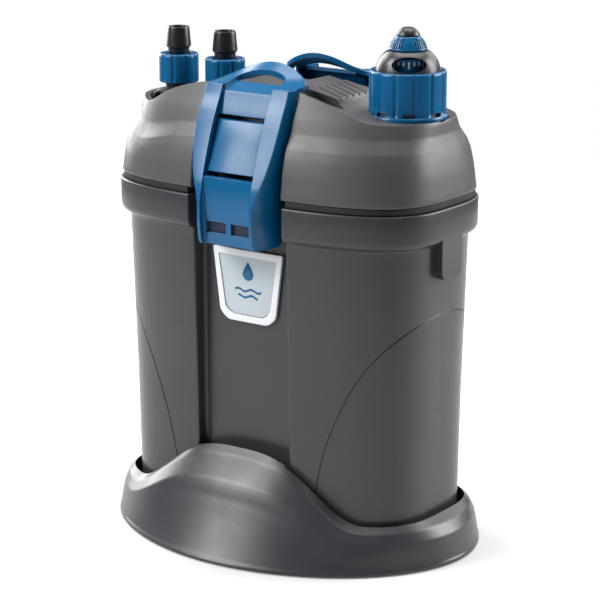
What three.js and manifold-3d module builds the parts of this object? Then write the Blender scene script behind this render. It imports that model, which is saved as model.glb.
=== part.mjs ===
// External canister water filter with a plug-in heater, millimetres, +Z up.
// Origin: centre of the footprint, on the surface the filter stands on.
// The front (latch and badge) faces -Y, the hose connections are at -X, the heater is at +X.
import * as THREE from 'three';
import { mergeVertices } from 'three/addons/utils/BufferGeometryUtils.js';
import Module from 'manifold-3d';

const wasm = await Module();
wasm.setup();

// ---------- driving dimensions ----------
const FOOT_A = 137.5, FOOT_B = 106.3, FOOT_N = 1.93;      // footprint superellipse half axes, exponent
const RIM_A = 126.2, RIM_B = 70.4, RIM_N = 3.4;           // canister rim superellipse
const FOOT_END_Z = 31, FOOT_WAVE = 39;                    // foot lip height at the ends, rise at the middle
const CAN_Z0 = 10.4, RIM_Z0 = 217.4, RIM_Z1 = 241.3;      // canister floor, rim band
const RECESS_W = 38.3, RECESS_D = 53;                     // latch channel half width, floor distance from the axis
const SEAL_Z1 = 245.7, HEAD_Z0 = 246;                     // seal band, head skirt
const PIVOT_Y = 58, PIVOT_Z = 275, PIN_R = 2.2;           // latch hinge axis and pin
const HEAT_X = 89.6, HEAT_TOP = 355.5;                      // heater axis, top of its cable gland
const HOSE_X = [-101.2, -60.5], HOSE_Y = 0, HOSE_TOP = 341; // hose connection axes
const TAIL_R = 8.65, TAIL_BORE = 5.6;                     // hose tail, for hose of 16 mm bore
const PUMP_X = 22;                                        // pump axis
const GAP = 0.3;

// ---------- materials ----------
const mat = (hex, roughness, metalness = 0) => new THREE.MeshStandardMaterial({ color: hex, roughness, metalness });
const M = {
  body: () => mat(0x54545a, 0.5), head: () => mat(0x7d7c7b, 0.55), foot: () => mat(0x55555a, 0.5),
  blue: () => mat(0x1263a3, 0.3), black: () => mat(0x1c1a1c, 0.45), rubber: () => mat(0x141416, 0.9),
  white: () => mat(0xeceded, 0.4), silver: () => mat(0xb9bdc0, 0.4), steel: () => mat(0xb8bcc0, 0.3, 1),
  inner: () => mat(0x33343a, 0.6), glass: () => mat(0xd8e4e6, 0.1), ceramic: () => mat(0xe6e2d8, 0.6),
  foamC: () => mat(0x27557e, 0.95), foamF: () => mat(0x2c2c2e, 0.95), fleece: () => mat(0xf0f0ea, 0.95),
  magnet: () => mat(0x3a3634, 0.5), dome: () => mat(0x77747a, 0.35),
};

// ---------- solids ----------
function solid(geo) {
  let g = geo.clone();
  g.deleteAttribute('normal'); g.deleteAttribute('uv');
  g = mergeVertices(g, 1e-4);
  const idx = g.index.array, tri = [];
  for (let i = 0; i < idx.length; i += 3) {
    const [a, b, c] = [idx[i], idx[i + 1], idx[i + 2]];
    if (a !== b && b !== c && a !== c) tri.push(a, b, c);
  }
  return new wasm.Manifold(new wasm.Mesh({
    numProp: 3, vertProperties: new Float32Array(g.attributes.position.array), triVerts: new Uint32Array(tri),
  }));
}
function geometry(man) {
  const m = man.getMesh(), g = new THREE.BufferGeometry();
  g.setAttribute('position', new THREE.BufferAttribute(new Float32Array(m.vertProperties), 3));
  g.setIndex(new THREE.BufferAttribute(new Uint32Array(m.triVerts), 1));
  g.computeVertexNormals();
  return g;
}
const union = (...s) => s.reduce((a, b) => a.add(b));
const cut = (a, ...s) => s.reduce((x, y) => x.subtract(y), a);
const shapeOf = (pts) => new THREE.Shape(pts.map(([x, y]) => new THREE.Vector2(x, y)));
// rings: [[[x,y,z],...],...] bottom to top, all with the same number of points, counter-clockwise seen from above
function loft(rings) {
  const base = rings[Math.floor(rings.length / 2)];
  const g = new THREE.ExtrudeGeometry(shapeOf(base), { depth: rings.length - 1, steps: rings.length - 1, bevelEnabled: false });
  const key = (x, y) => Math.fround(x) + ',' + Math.fround(y);
  const where = new Map(base.map(([x, y], i) => [key(x, y), i]));
  const p = g.attributes.position;
  for (let i = 0; i < p.count; i++) {
    const k = Math.round(p.getZ(i)), j = where.get(key(p.getX(i), p.getY(i)));
    const [x, y, z] = rings[k][j];
    p.setXYZ(i, x, y, z);
  }
  return solid(g);
}
const prism = (pts, z0, z1) => solid(new THREE.ExtrudeGeometry(shapeOf(pts), { depth: z1 - z0, steps: 1, bevelEnabled: false }).translate(0, 0, z0));
// profile in (y, z) swept along X, and profile in (x, z) swept along Y
function prismX(pts, x0, x1) {
  const g = new THREE.ExtrudeGeometry(shapeOf(pts), { depth: x1 - x0, steps: 1, bevelEnabled: false });
  g.applyMatrix4(new THREE.Matrix4().set(0, 0, 1, x0, 1, 0, 0, 0, 0, 1, 0, 0, 0, 0, 0, 1));
  return solid(g);
}
function prismY(pts, y0, y1) {
  const g = new THREE.ExtrudeGeometry(shapeOf(pts), { depth: y1 - y0, steps: 1, bevelEnabled: false });
  g.applyMatrix4(new THREE.Matrix4().set(1, 0, 0, 0, 0, 0, -1, y1, 0, 1, 0, 0, 0, 0, 0, 1));
  return solid(g);
}
const box = (x0, x1, y0, y1, z0, z1) => solid(new THREE.BoxGeometry(x1 - x0, y1 - y0, z1 - z0).translate((x0 + x1) / 2, (y0 + y1) / 2, (z0 + z1) / 2));
const cyl = (x, y, z0, z1, r, seg = 16, r2 = r) => solid(new THREE.CylinderGeometry(r2, r, z1 - z0, seg).rotateX(Math.PI / 2).translate(x, y, (z0 + z1) / 2));
const cylX = (y, z, x0, x1, r, seg = 12) => solid(new THREE.CylinderGeometry(r, r, x1 - x0, seg).rotateZ(Math.PI / 2).translate((x0 + x1) / 2, y, z));
const cylY = (x, z, y0, y1, r, seg = 14) => solid(new THREE.CylinderGeometry(r, r, y1 - y0, seg).translate(x, (y0 + y1) / 2, z));
// profile [[r, z], ...], a closed loop or one that starts and ends on the axis
function lathe(pts, x, y, seg = 20) {
  const on = pts[0][0] === 0 && pts[pts.length - 1][0] === 0;
  const p = (on ? pts : [...pts, pts[0]]).map(([r, z]) => new THREE.Vector2(r, z));
  const g = new THREE.LatheGeometry(p, seg).rotateX(Math.PI / 2).translate(x, y, 0);
  let s = solid(g);
  if (s.volume() < 0) { // turn the faces outward
    const gi = g.clone(), ix = gi.index.array;
    for (let i = 0; i < ix.length; i += 3) { const t = ix[i]; ix[i] = ix[i + 1]; ix[i + 1] = t; }
    s = solid(gi);
  }
  return s;
}
const tube = (x, y, z0, z1, ro, ri, seg = 16) => cut(cyl(x, y, z0, z1, ro, seg), cyl(x, y, z0 - 1, z1 + 1, ri, seg));

// ---------- outlines ----------
const seY = (A, B, n, x) => B * Math.pow(Math.max(0, 1 - Math.pow(Math.abs(x) / A, n)), 1 / n);
// evenly spaced points on a superellipse quadrant from (A, 0) to x = xEnd
function quadrant(A, B, n, xEnd, count) {
  const pts = [], N = 600;
  const tEnd = Math.acos(Math.pow(xEnd / A, n / 2));
  for (let i = 0; i <= N; i++) {
    const t = tEnd * i / N;
    pts.push([A * Math.pow(Math.cos(t), 2 / n), B * Math.pow(Math.sin(t), 2 / n)]);
  }
  pts[0] = [A, 0];
  const L = [0];
  for (let i = 1; i <= N; i++) L.push(L[i - 1] + Math.hypot(pts[i][0] - pts[i - 1][0], pts[i][1] - pts[i - 1][1]));
  const out = [];
  for (let k = 0; k < count; k++) {
    const s = L[N] * k / (count - 1);
    let i = 1; while (i < N && L[i] < s) i++;
    const f = (s - L[i - 1]) / (L[i] - L[i - 1]);
    out.push([pts[i - 1][0] + f * (pts[i][0] - pts[i - 1][0]), pts[i - 1][1] + f * (pts[i][1] - pts[i - 1][1])]);
  }
  return out;
}
const mirrored = (q) => [
  ...q,
  ...q.slice(0, -1).reverse().map(([x, y]) => [-x, y]).filter(([x]) => x < -1e-9),
  ...q.slice(1).map(([x, y]) => [-x, -y]),
  ...q.slice(1, -1).reverse().map(([x, y]) => [x, -y]),
];
const ellipse = (A, B, n, count = 11) => mirrored(quadrant(A, B, n, 0, count));
// superellipse with the latch channels (half width w, floor at y = f) front and back
function channelOutline(A, B, n, w, f, r = 3, count = 9) {
  const q = quadrant(A, B, n, w, count);
  q[q.length - 1][0] = w;
  q.push([w, f + r], [w - 0.3 * r, f + 0.3 * r], [w - r, f]);
  const right = q, left = q.slice().reverse().map(([x, y]) => [-x, y]);
  const top = [...right, ...left];                        // from (A,0) over the back to (-A,0)
  const bottom = top.slice(1, -1).reverse().map(([x, y]) => [x, -y]);
  return [...top, ...bottom];
}
// rim outline moved in by d
const channelled = (d, w, f, r, count) => channelOutline(RIM_A - d, RIM_B - d, RIM_N, w, f, r, count);
const at = (ring, z) => ring.map(([x, y]) => [x, y, z]);

// ---------- foot ----------
const wave = (x) => 0.5 * (1 + Math.cos(Math.PI * Math.pow(Math.min(Math.abs(x), 95) / 95, 1.5)));
function footRings(shrink, drop) {
  const out = ellipse(FOOT_A - shrink, FOOT_B - shrink, FOOT_N), lip = ellipse(RIM_A - 5 - shrink * 0.3, RIM_B - 6 - shrink * 0.3, RIM_N);
  const ring = (sEnd, sMid, zEnd, zMid) => out.map((p, i) => {
    const w = wave(lip[i][0]), s = sEnd + (sMid - sEnd) * w;
    return [p[0] + (lip[i][0] - p[0]) * s, p[1] + (lip[i][1] - p[1]) * s, zEnd + (zMid - zEnd) * w - drop];
  });
  return [ring(0, 0, 0.8, 0.8), ring(0.09, 0.09, 5, 6), ring(0.2, 0.4, 15, 30), ring(0.32, 0.72, 20, 54.5), ring(0.6, 0.93, 26.5, 64.5), ring(1, 1, FOOT_END_Z, FOOT_END_Z + FOOT_WAVE)];
}
const canOuter = (d, z) => at(channelled(d, RECESS_W, RECESS_D), z);
let foot = loft(footRings(0, 0));
{
  const pocketRing = channelled(5.2, RECESS_W - 0.9, RECESS_D + 0.6);
  const pocket = loft([at(pocketRing, 10), at(pocketRing, 90)]);
  const hollow = loft(footRings(3.2, 3.4).map((r, k) => (k === 0 ? r.map(([x, y]) => [x, y, -2]) : r)));
  const core = loft([at(channelled(2.2, RECESS_W - 3.6, RECESS_D + 3.4), 6.5), at(channelled(2.2, RECESS_W - 3.6, RECESS_D + 3.4), 90)]);
  foot = cut(foot, cut(hollow, core), pocket);
}

// ---------- canister ----------
let canister = loft([canOuter(10.2, CAN_Z0), canOuter(9.5, 34), canOuter(8.4, 105), canOuter(6.2, 191), canOuter(5.5, RIM_Z0), canOuter(2, RIM_Z0 + 1.2), canOuter(0, RIM_Z0 + 4.2), canOuter(0, RIM_Z1)]);
{
  const inner = (d, z) => at(channelled(d, RECESS_W + 3.2, RECESS_D - 3.2), z);
  const cavity = loft([inner(13.6, CAN_Z0 + 3), inner(9, RIM_Z1 + 1)]);
  const tab = (s) => {
    const p = [[-14, 226], [-14, 199], [-12, 195.2], [-8, 193.6], [8, 193.6], [12, 195.2], [14, 199], [14, 226]];
    return prismX(p, Math.min(s * 117.5, s * 126), Math.max(s * 117.5, s * 126)).intersect(loft([canOuter(0.2, 180), canOuter(0.2, 230)]));
  };
  const lug = (x0, x1, s) => prismX([[s * 52.5, 226], [s * 52.5, 215], [s * 73.2, 223.2], [s * 73.2, 225.6]], x0, x1);
  canister = union(canister, tab(1), tab(-1));
  canister = cut(canister, cavity);
  for (const s of [-1, 1]) canister = union(canister, lug(-17, -3.5, s), lug(3.5, 17, s));
}

// ---------- seal and head ----------
const sealRing = cut(
  loft([at(channelled(1.8, 40, 51.4), RIM_Z1 + GAP), at(channelled(1.8, 40, 51.4), SEAL_Z1)]),
  loft([at(channelled(9, 43, 48.8), 240), at(channelled(9, 43, 48.8), 250)]));

const archTop = (x) => {
  const t = x < 0 ? [[0, 314.5], [36, 314], [47, 312.8], [54, 311.4], [63, 308.7], [73, 305.3], [82, 301], [90, 297.4], [108, 297], [130, 297]]
    : [[0, 314.5], [36, 314], [50, 310.3], [66, 305], [80, 300.3], [89, 297.8], [98, 297.2], [108, 297], [130, 297]];
  x = Math.abs(x);
  for (let i = 1; i < t.length; i++) if (x <= t[i][0]) return t[i - 1][1] + (t[i][1] - t[i - 1][1]) * (x - t[i - 1][0]) / (t[i][0] - t[i - 1][0]);
  return 297;
};
const archPts = (() => {
  const xs = [-130, -108, -90, -82, -73, -63, -54, -47, -36, 36, 50, 66, 80, 89, 98, 108, 130];
  return [[-130, 240], [130, 240], ...xs.reverse().map((x) => [x, archTop(x)])];
})();
const HEAD_CH = 36.8;                                     // half width of the latch channel in the head
const HEAD_RINGS = [                                      // z, half axes, exponent, channel floor
  [HEAD_Z0, 125.1, 69.3, 3.4, 46.4], [263.4, 123.1, 67.3, 3.4, 46.4], [273.5, 121.2, 65.3, 3.4, 46.4], [279.5, 119.8, 63.4, 3.3, 46.4],
  [288, 117.6, 58.6, 2.9, 43.5], [297, 117, 56, 2.65, 42], [305, 112, 52.5, 2.6, 39], [317, 104, 47.5, 2.6, 34.5]];
let headCover;
{
  const outer = loft(HEAD_RINGS.map(([z, A, B, n, f]) => at(channelOutline(A, B, n, HEAD_CH, f), z)));
  const inner = (d, w, f, z) => at(channelled(d, w, f), z);
  const cavity = loft([inner(4.4, 40, 43, 240), inner(6.6, 40, 43, 263), inner(10, 40, 42.6, 281.5)]);
  let h = outer.intersect(prismY(archPts, -80, 80));
  h = cut(h, cavity);
  // top: well for the hose connections, plateau, primer pocket, groove round the heater
  const well = prism([[-112.5, -8], [-110.5, -17], [-106, -26], [-100, -32], [-92, -37.5], [-80, -42], [-41, -44], [-41, 44], [-80, 42], [-92, 37.5], [-100, 32], [-106, 26], [-110.5, 17], [-112.5, 8]], 286, 330);
  const plateau = box(-41, 36.8, -41, 41, 309.6, 330);
  const groove = prism([[12, -24], [36.8, -41], [36.8, -46], [60, -44], [72, -36], [72, 36], [60, 44], [36.8, 46], [36.8, 41], [12, 24]], 291, 330);
  const springWell = cyl(32, 0, 287.6, 292, 9.4);
  const dip = (s) => prismX([[s * 46, 330], [s * 46, 306.2], [s * 30, 307.4], [s * 22, 309.7], [s * 22, 330]], -HEAD_CH, HEAD_CH);
  h = cut(h, well, plateau, groove, springWell, dip(1), dip(-1));
  // heater socket: seat, threaded neck and through hole
  h = cut(h, cyl(HEAT_X, 0, 296, 330, 27.3, 28));
  h = union(h, cyl(HEAT_X, 0, 280, 296, 27, 28).intersect(outer));
  h = union(h, tube(HEAT_X, 0, 285, 318, 23, 21.8, 24));
  h = cut(h, cyl(HEAT_X, 0, 292.2, 330, 21.8, 24), cyl(HEAT_X, 0, 270, 300, 11.5));
  // bosses for the head screws
  for (const x of [-80, 74]) for (const y of [-34, 34]) h = union(h, cyl(x, y, HEAD_Z0, 283, 5, 12));
  for (const x of [-80, 74]) for (const y of [-34, 34]) h = cut(h, cyl(x, y, 240, 264, 2.3, 10));
  // through holes: hose ducts, mains gland, latch bracket spigots
  for (const x of HOSE_X) h = cut(h, cyl(x, HOSE_Y, 270, 300, 9.4));
  h = cut(h, cylY(-72, 262, 40, 90, 5.2));
  headCover = h;
}
let headPlate = loft([at(channelled(9.4, 43.4, 48.2), 234), at(channelled(9.4, 43.4, 48.2), SEAL_Z1)]);
headPlate = cut(headPlate, loft([at(channelled(13, 47, 44.6), 230), at(channelled(13, 47, 44.6), 240.5)]));
headPlate = union(headPlate, cyl(PUMP_X, 0, 234, 270, 11.6));
for (const x of [-80, 74]) for (const y of [-34, 34]) headPlate = union(headPlate, cyl(x, y, 236, 241, 6, 12));
headPlate = cut(headPlate, cyl(PUMP_X, 0, 230, 267.8, 9.8), cyl(HEAT_X, 0, 230, 250, 11.5), cyl(HOSE_X[0], HOSE_Y, 230, 250, 7.2), cyl(HOSE_X[1], HOSE_Y, 230, 250, 7.2));
for (const x of [-80, 74]) for (const y of [-34, 34]) headPlate = cut(headPlate, cyl(x, y, 230, 250, 2.3, 10), cyl(x, y, 230, 238.6, 4.4, 12));

// ---------- latch, drawn for the front and mirrored for the back ----------
const LAT = [ // z, front half width, flank half width, front y, back y (y as distance in front of the axis)
  [211.8, 22.7, 28, 77.8, 57], [215, 22.7, 28.4, 79.4, 54.4], [227, 22.7, 28.4, 80.6, 54], [240, 22.7, 28.4, 80.4, 54], [247, 24, 28.6, 79.2, 54],
  [253, 25.7, 29, 78, 50], [262, 28.2, 30.6, 75.4, 49], [274, 31, 33, 71.6, 48.6], [282, 33.2, 34.4, 68.8, 48.6], [290, 35, 35.4, 65.8, 48.6], [300, 34.5, 34.9, 61.4, 48], [308, 34, 34.4, 57.3, 46.6], [315, 33.8, 34.2, 54.4, 46]];
function latchSolid() {
  const outer = LAT.map(([z, wf, wb, f, b]) => {
    const k = Math.min(f - b - 1, 3 + (wb - wf) * 2.2);
    return [[wb, -b, z], [-wb, -b, z], [-wb, -(f - k), z], [-wf, -f, z], [wf, -f, z], [wb, -(f - k), z]];
  });
  const inner = LAT.map(([z, wf, wb, f, b], i) => {
    const t = z < 246 ? f - 71.8 : 3.2, k = Math.min(f - b - 1, 3 + (wb - wf) * 2.2);
    const zz = i === 0 ? z - 2 : i === LAT.length - 1 ? z + 2 : z;
    return [[wb - 3, -b + 8, zz], [-(wb - 3), -b + 8, zz], [-(wb - 3), -(f - Math.max(k, t)), zz], [-(wf - 2), -(f - t), zz], [wf - 2, -(f - t), zz], [wb - 3, -(f - Math.max(k, t)), zz]];
  });
  let s = cut(loft(outer), loft(inner));
  // window for the hinge bracket, recessed lower panel, hook slots
  s = cut(s, box(-20.4, 20.4, -90, -40, 257, 295.8));
  s = cut(s, box(-19.8, 19.8, -90, -75, 205, 257.2));
  for (const [a, b] of [[-18.6, -2], [2, 18.6]]) s = cut(s, box(a, b, -90, -60, 219.6, 227.2));
  // crossbar keeps its face behind the rails, open between them above
  s = cut(s, prismX([[-90, 317], [-90, 295], [-58, 295], [-53, 311.5], [-40, 317]], -20.4, 20.4));
  s = union(s, prismX([[-58.6, 295.9], [-53.6, 311.2], [-40.6, 315.6], [-40.6, 312.6], [-50.6, 309.6], [-55.2, 295.9]], -21, 21));
  // tongue: a D-shaped finger grip that rises backwards over the head
  const arc = (r0, r1, n, w, z) => { const a = []; for (let i = 0; i <= n; i++) { const t = Math.PI * i / n; a.push([w * Math.cos(t), -r0 + (r0 - r1) * Math.pow(Math.sin(t), 0.75), z]); } return a; };
  const lift = (p, low) => { const [x, y] = p, u = Math.min(1, Math.max(0, (y + 54) / 30)) ** 1.6; return [x, y, (low ? 311.8 : 315.4) + 3.4 * u + 9 * u * (1 - (x / 33.8) ** 2)]; };
  const plan = [[-33.8, -54.2], [-11, -54.2], [11, -54.2], [33.8, -54.2], ...arc(40, 24, 12, 33.8, 0).map(([x, y]) => [x, y])];
  let tongue = loft([plan.map((p) => lift(p, true)), plan.map((p) => lift(p, false))]);
  const hole = prism([[-20.4, -90], [20.4, -90], [20.4, -44], ...arc(42, 32, 10, 20, 0).map(([x, y]) => [x, y]), [-20.4, -44]], 300, 340);
  tongue = cut(tongue, hole);
  s = union(s, tongue);
  return cut(s, cylX(-PIVOT_Y, PIVOT_Z, -40, 40, PIN_R + GAP));
}
function bracketSolid() {
  const front = prismX([[-60.2, 293], [-73.2, 260], [-70, 260], [-57, 293]], -19.6, 19.6);
  const ear = (a, b) => prismX([[-58, 292.6], [-70.8, 260.2], [-46.8, 260.2], [-46.8, 284], [-50, 292.6]], a, b);
  return cut(union(front, ear(-19.6, -15), ear(15, 19.6)), cylX(-PIVOT_Y, PIVOT_Z, -40, 40, PIN_R + GAP));
}
const pinSolid = () => cylX(-PIVOT_Y, PIVOT_Z, -33.4, 33.4, PIN_R, 16);
const back = (s) => s.rotate([0, 0, 180]);

// ---------- badge ----------
const badgeOutline = (g, y0, y1) => prismY([[-29 + g, 205.4 - g], [-23.2 + g, 161 + g * 0.6], [-16.6 + g, 155.6 + g], [16.6 - g, 155.6 + g], [23.2 - g, 161 + g * 0.6], [29 - g, 205.4 - g]], y0, y1);
const badgeFrame = cut(badgeOutline(0, -55.6, -53.3), badgeOutline(4.6, -60, -50));
const badgePlate = badgeOutline(4.9, -54.9, -53.3);

// ---------- heater ----------
const H = HEAT_X;
const fluted = (n, r, depth, duty, seg = 4) => { const p = []; for (let i = 0; i < n; i++) for (let j = 0; j < seg; j++) { const t = (i + j / seg) / n * 2 * Math.PI, k = j / seg < duty ? r : r - depth; p.push([k * Math.cos(t), k * Math.sin(t)]); } return p; };
let collar = prism(fluted(13, 25.3, 0.9, 0.7).map(([x, y]) => [x + H, y]), 299.6, 328);
collar = union(collar, lathe([[0, 296.6], [26.4, 296.6], [26.4, 299], [25.4, 301], [0, 301]], H, 0, 24));
collar = cut(collar, cyl(H, 0, 290, 325, 23.4, 24), cyl(H, 0, 290, 330, 21.9, 24));
const domeOut = [[21.3, 325.2], [21.2, 328.4], [20.2, 332.2], [18.2, 335.8], [15.6, 338.8], [12.9, 340.6]];
let housing = lathe([[0, 292.6], [21.3, 292.6], [21.3, 318.4], [23.1, 318.4], [23.1, 324.6], [21.3, 324.6], ...domeOut.slice(0), [0, 340.6]], H, 0, 20);
housing = cut(housing, lathe([[0, 295.5], [19.2, 295.5], [19.2, 327.6], [18.3, 331.4], [16.4, 334.6], [13.8, 337.4], [12, 338.6], [0, 338.6]], H, 0, 24), cyl(H, 0, 280, 300, 8.8), cyl(H, 0, 330, 345, 4.6));
{
  const e = []; for (let i = 0; i < 14; i++) { const t = i / 14 * 2 * Math.PI; e.push([11.2 * Math.cos(t), 5 * Math.sin(t)]); }
  const g = new THREE.ExtrudeGeometry(shapeOf(e), { depth: 26, steps: 1, bevelEnabled: false }).translate(0, 0, 9).rotateX(Math.PI / 2).translate(0, 0, 333).rotateZ(35.9 * Math.PI / 180).translate(H, 0, 0);
  housing = cut(housing, solid(g));
}
const drum = cut(union(cyl(H, 0, 325.4, 336.4, 13.4, 20), cyl(H, 0, 336, 344.4, 4.2)), cyl(H, 0, 320, 350, 3));
const dial = cut(lathe([[0, 341], [12.5, 341], [12.5, 342.2], [10.6, 346.4], [7.6, 350], [0, 350]], H, 0, 20), cyl(H, 0, 340, 344.8, 4.5), cyl(H, 0, 340, 352, 3));
const gland = union(lathe([[0, 350.3], [7.4, 350.3], [6.6, 352.2], [4.8, 354.2], [2.8, HEAT_TOP], [0, HEAT_TOP]], H, 0, 24), cyl(H, 0, 296, 351, 2.6, 16));
const glassTube = lathe([[0, 62], [6, 62.8], [9.6, 65.6], [11, 69.5], [11, 292.2], [9.5, 292.2], [9.5, 70], [8.4, 67], [5.4, 64.6], [0, 64]], H, 0, 20);
const element = lathe([[0, 72], [5.2, 72], [5.2, 240], [6.6, 240.4], [6.6, 262], [2.2, 262], [2.2, 291], [0, 291]], H, 0, 16);
const heaterSeal = lathe([[12, 246.2], [14.4, 246.2], [14.4, 249], [12, 249]], H, 0, 20);

// ---------- hose connections ----------
let manifoldBody = union(
  prism([[-110.8, HOSE_Y - 7], [-107, HOSE_Y - 11.5], [-50, HOSE_Y - 11.5], [-47, HOSE_Y - 9], [-47, HOSE_Y + 9], [-50, HOSE_Y + 11.5], [-107, HOSE_Y + 11.5], [-110.8, HOSE_Y + 7]], 287, 297),
  ...HOSE_X.map((x) => cyl(x, HOSE_Y, 290, 303, 9.4)));
manifoldBody = cut(manifoldBody, ...HOSE_X.map((x) => cyl(x, HOSE_Y, 280, 310, 7)));
let elbow = union(cylY(-96, 292.9, -16, -11.9, 5.8), cylY(-96, 294.6, -28.4, -14.2, 6.6), cylY(-96, 294.6, -25.6, -22.4, 7.4));
elbow = cut(elbow, cylY(-96, 294.6, -32, -17, 4.6));
const tail = (x) => lathe([[TAIL_BORE, 303.3], [9.4, 303.3], [9.4, 306.2], [7.3, 306.8], [7.3, 325.6], [TAIL_R, 327.2], [TAIL_R, 328.4], [7.5, HOSE_TOP], [TAIL_BORE, HOSE_TOP]], x, HOSE_Y, 18);
function nut(x) {
  const p = fluted(10, 13.8, 0.6, 0.7).map(([a, b]) => [a + x, b + HOSE_Y]);
  return cut(prism(p, 299.6, 322.4), cyl(x, HOSE_Y, 299, 318.6, 9.8), cyl(x, HOSE_Y, 310, 330, 9.1));
}
const duct = (x) => tube(x, HOSE_Y, SEAL_Z1 + GAP, 286.7, 9, 7);

// ---------- pump ----------
let motor = cut(union(box(PUMP_X - 27, PUMP_X + 27, -26, 26, 246.1, 281.2), cylX(0, 262, PUMP_X - 32, PUMP_X + 32, 14, 20)), cyl(PUMP_X, 0, 240, 271, 12), cyl(PUMP_X, 0, 240, 260, 12));
let rotor = cyl(PUMP_X, 0, 236, 262, 8.9);
for (let i = 0; i < 6; i++) {
  const a = i / 6 * 2 * Math.PI;
  rotor = union(rotor, solid(new THREE.BoxGeometry(15.5, 1.8, 8).translate(9, 0, 228.5).rotateZ(a).translate(PUMP_X, 0, 0)));
}
rotor = union(rotor, cyl(PUMP_X, 0, 224.6, 237, 5, 20));
rotor = cut(rotor, cyl(PUMP_X, 0, 220, 270, 1.9, 16));
const shaft = cyl(PUMP_X, 0, 221.4, 266.9, 1.5, 16);
const bushTop = tube(PUMP_X, 0, 263, 267.4, 6, 1.8, 20);
let volute = lathe([[0, 216.6], [20, 216.6], [25, 221], [25, 233.7], [22.6, 233.7], [22.6, 222], [18.8, 219], [0, 219]], PUMP_X, 0, 20);
volute = union(cut(volute, cyl(PUMP_X, 0, 210, 221, 11)), cyl(PUMP_X, 0, 216.8, 221.2, 4.2, 20), box(PUMP_X - 12, PUMP_X + 12, -1.2, 1.2, 216.8, 218.9), box(PUMP_X - 1.2, PUMP_X + 1.2, -12, 12, 216.8, 218.9));
volute = cut(volute, cyl(PUMP_X, 0, 218.6, 223, 3.4, 20));
const bushLow = tube(PUMP_X, 0, 219, 223.2, 3.05, 1.8, 16);

// ---------- primer ----------
const padTop = (x) => 312 - 0.19 * (x - 27);
let pad = prismY([[13, 297.6], [60.6, 297.6], [60.6, 299], [55, 301], [50.6, 304.6], [48.6, padTop(48.6)], [13, padTop(13)]], -22, 22);
pad = cut(pad, box(10, 25, -25, -19.2, 308, 330), box(10, 25, 19.2, 25, 308, 330));
{
  const ribs = [];
  for (let i = 0; i < 5; i++) {
    const g = new THREE.BoxGeometry(60, 1.4, 3).rotateY(0.188).rotateZ(-0.26).translate(48, -17.5 + i * 7.2, padTop(48) + 0.1);
    ribs.push(solid(g));
  }
  pad = cut(pad, box(16.2, 46, -18.6, 18.6, 290, 302.6), ...ribs.map((r) => r.intersect(box(24 , 70, -30, 30, 290, 330))));
  pad = union(pad, cyl(32, 0, 294.4, 303, 4.6, 16));
}
const springPath = new (class extends THREE.Curve {
  getPoint(t, v = new THREE.Vector3()) { const a = t * 2 * Math.PI * 4.5; return v.set(32 + 7 * Math.cos(a), 7 * Math.sin(a), 288.8 + t * 12.6); }
})();
const hexagon = []; for (let i = 0; i < 6; i++) hexagon.push([0.75 * Math.cos(i / 3 * Math.PI), 0.75 * Math.sin(i / 3 * Math.PI)]);
const spring = solid(new THREE.ExtrudeGeometry(shapeOf(hexagon), { steps: 40, extrudePath: springPath, bevelEnabled: false }));

// ---------- filter media ----------
const rounded = (x0, x1, y0, y1, r, n = 4) => { const p = []; const c = [[x1 - r, y1 - r, 0], [x0 + r, y1 - r, 1], [x0 + r, y0 + r, 2], [x1 - r, y0 + r, 3]]; for (const [a, b, q] of c) for (let i = 0; i <= n; i++) { const t = (q + i / n) * Math.PI / 2; p.push([a + r * Math.cos(t), b + r * Math.sin(t)]); } return p; };
function basket(z0, z1) {
  let b = cut(prism(rounded(-76, 72, -45, 45, 12), z0, z1), prism(rounded(-74, 70, -43, 43, 10), z0 + 2, z1 + 1));
  b = union(b, cut(prism(rounded(-78.5, 74.5, -47.5, 47.5, 14), z1 - 2.4, z1), prism(rounded(-74, 70, -43, 43, 10), z1 - 5, z1 + 1)));
  for (let i = 0; i < 8; i++) b = cut(b, box(-66 + i * 17, -57 + i * 17, -34, 34, z0 - 1, z0 + 3));
  return b;
}
const foam = (z0, z1) => prism(rounded(-73.4, 69.4, -42.4, 42.4, 9.6), z0, z1);
const intake = union(tube(-98, 0, 40, 233.4, 9, 7.4), cut(cyl(-98, 0, 40, 44, 10.6), cyl(-98, 0, 30, 50, 7.4)));
let strainer = cut(cyl(-98, 0, 15, 39.7, 10.6, 24), cyl(-98, 0, 17, 45, 8.8, 24));
for (let i = 0; i < 4; i++) strainer = cut(strainer, solid(new THREE.BoxGeometry(30, 2.4, 14).rotateZ(i * Math.PI / 4).translate(-98, 0, 28)));
const sleeve = tube(-98, 0, 60, 200, 12.6, 9.5);

// ---------- assembly ----------
const filter = new THREE.Group();
filter.name = 'canister_filter';
function add(name, man, material) {
  const m = new THREE.Mesh(geometry(man), material);
  m.name = name;
  filter.add(m);
}
add('base_foot', foot, M.foot());
[[-92, -46], [92, -46], [92, 46], [-92, 46]].forEach(([x, y], i) => add('rubber_foot_' + (i + 1), lathe([[0, 0], [7, 0], [8, 1], [8, 6.2], [0, 6.2]], x, y, 14), M.rubber()));
add('canister', canister, M.body());
add('badge_frame', badgeFrame, M.white());
add('badge_plate', badgePlate, M.silver());
add('canister_seal', sealRing, M.rubber());
add('head_plate', headPlate, M.inner());
add('head_cover', headCover, M.head());
let n = 1;
for (const x of [-80, 74]) for (const y of [-34, 34]) add('head_screw_' + n++, union(cyl(x, y, 236, 238.3, 3.9, 12), cyl(x, y, 238, 262, 1.9, 10)), M.steel());
add('front_latch', latchSolid(), M.blue());
add('rear_latch', back(latchSolid()), M.blue());
add('front_latch_bracket', bracketSolid(), M.blue());
add('rear_latch_bracket', back(bracketSolid()), M.blue());
add('front_hinge_pin', pinSolid(), M.steel());
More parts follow.
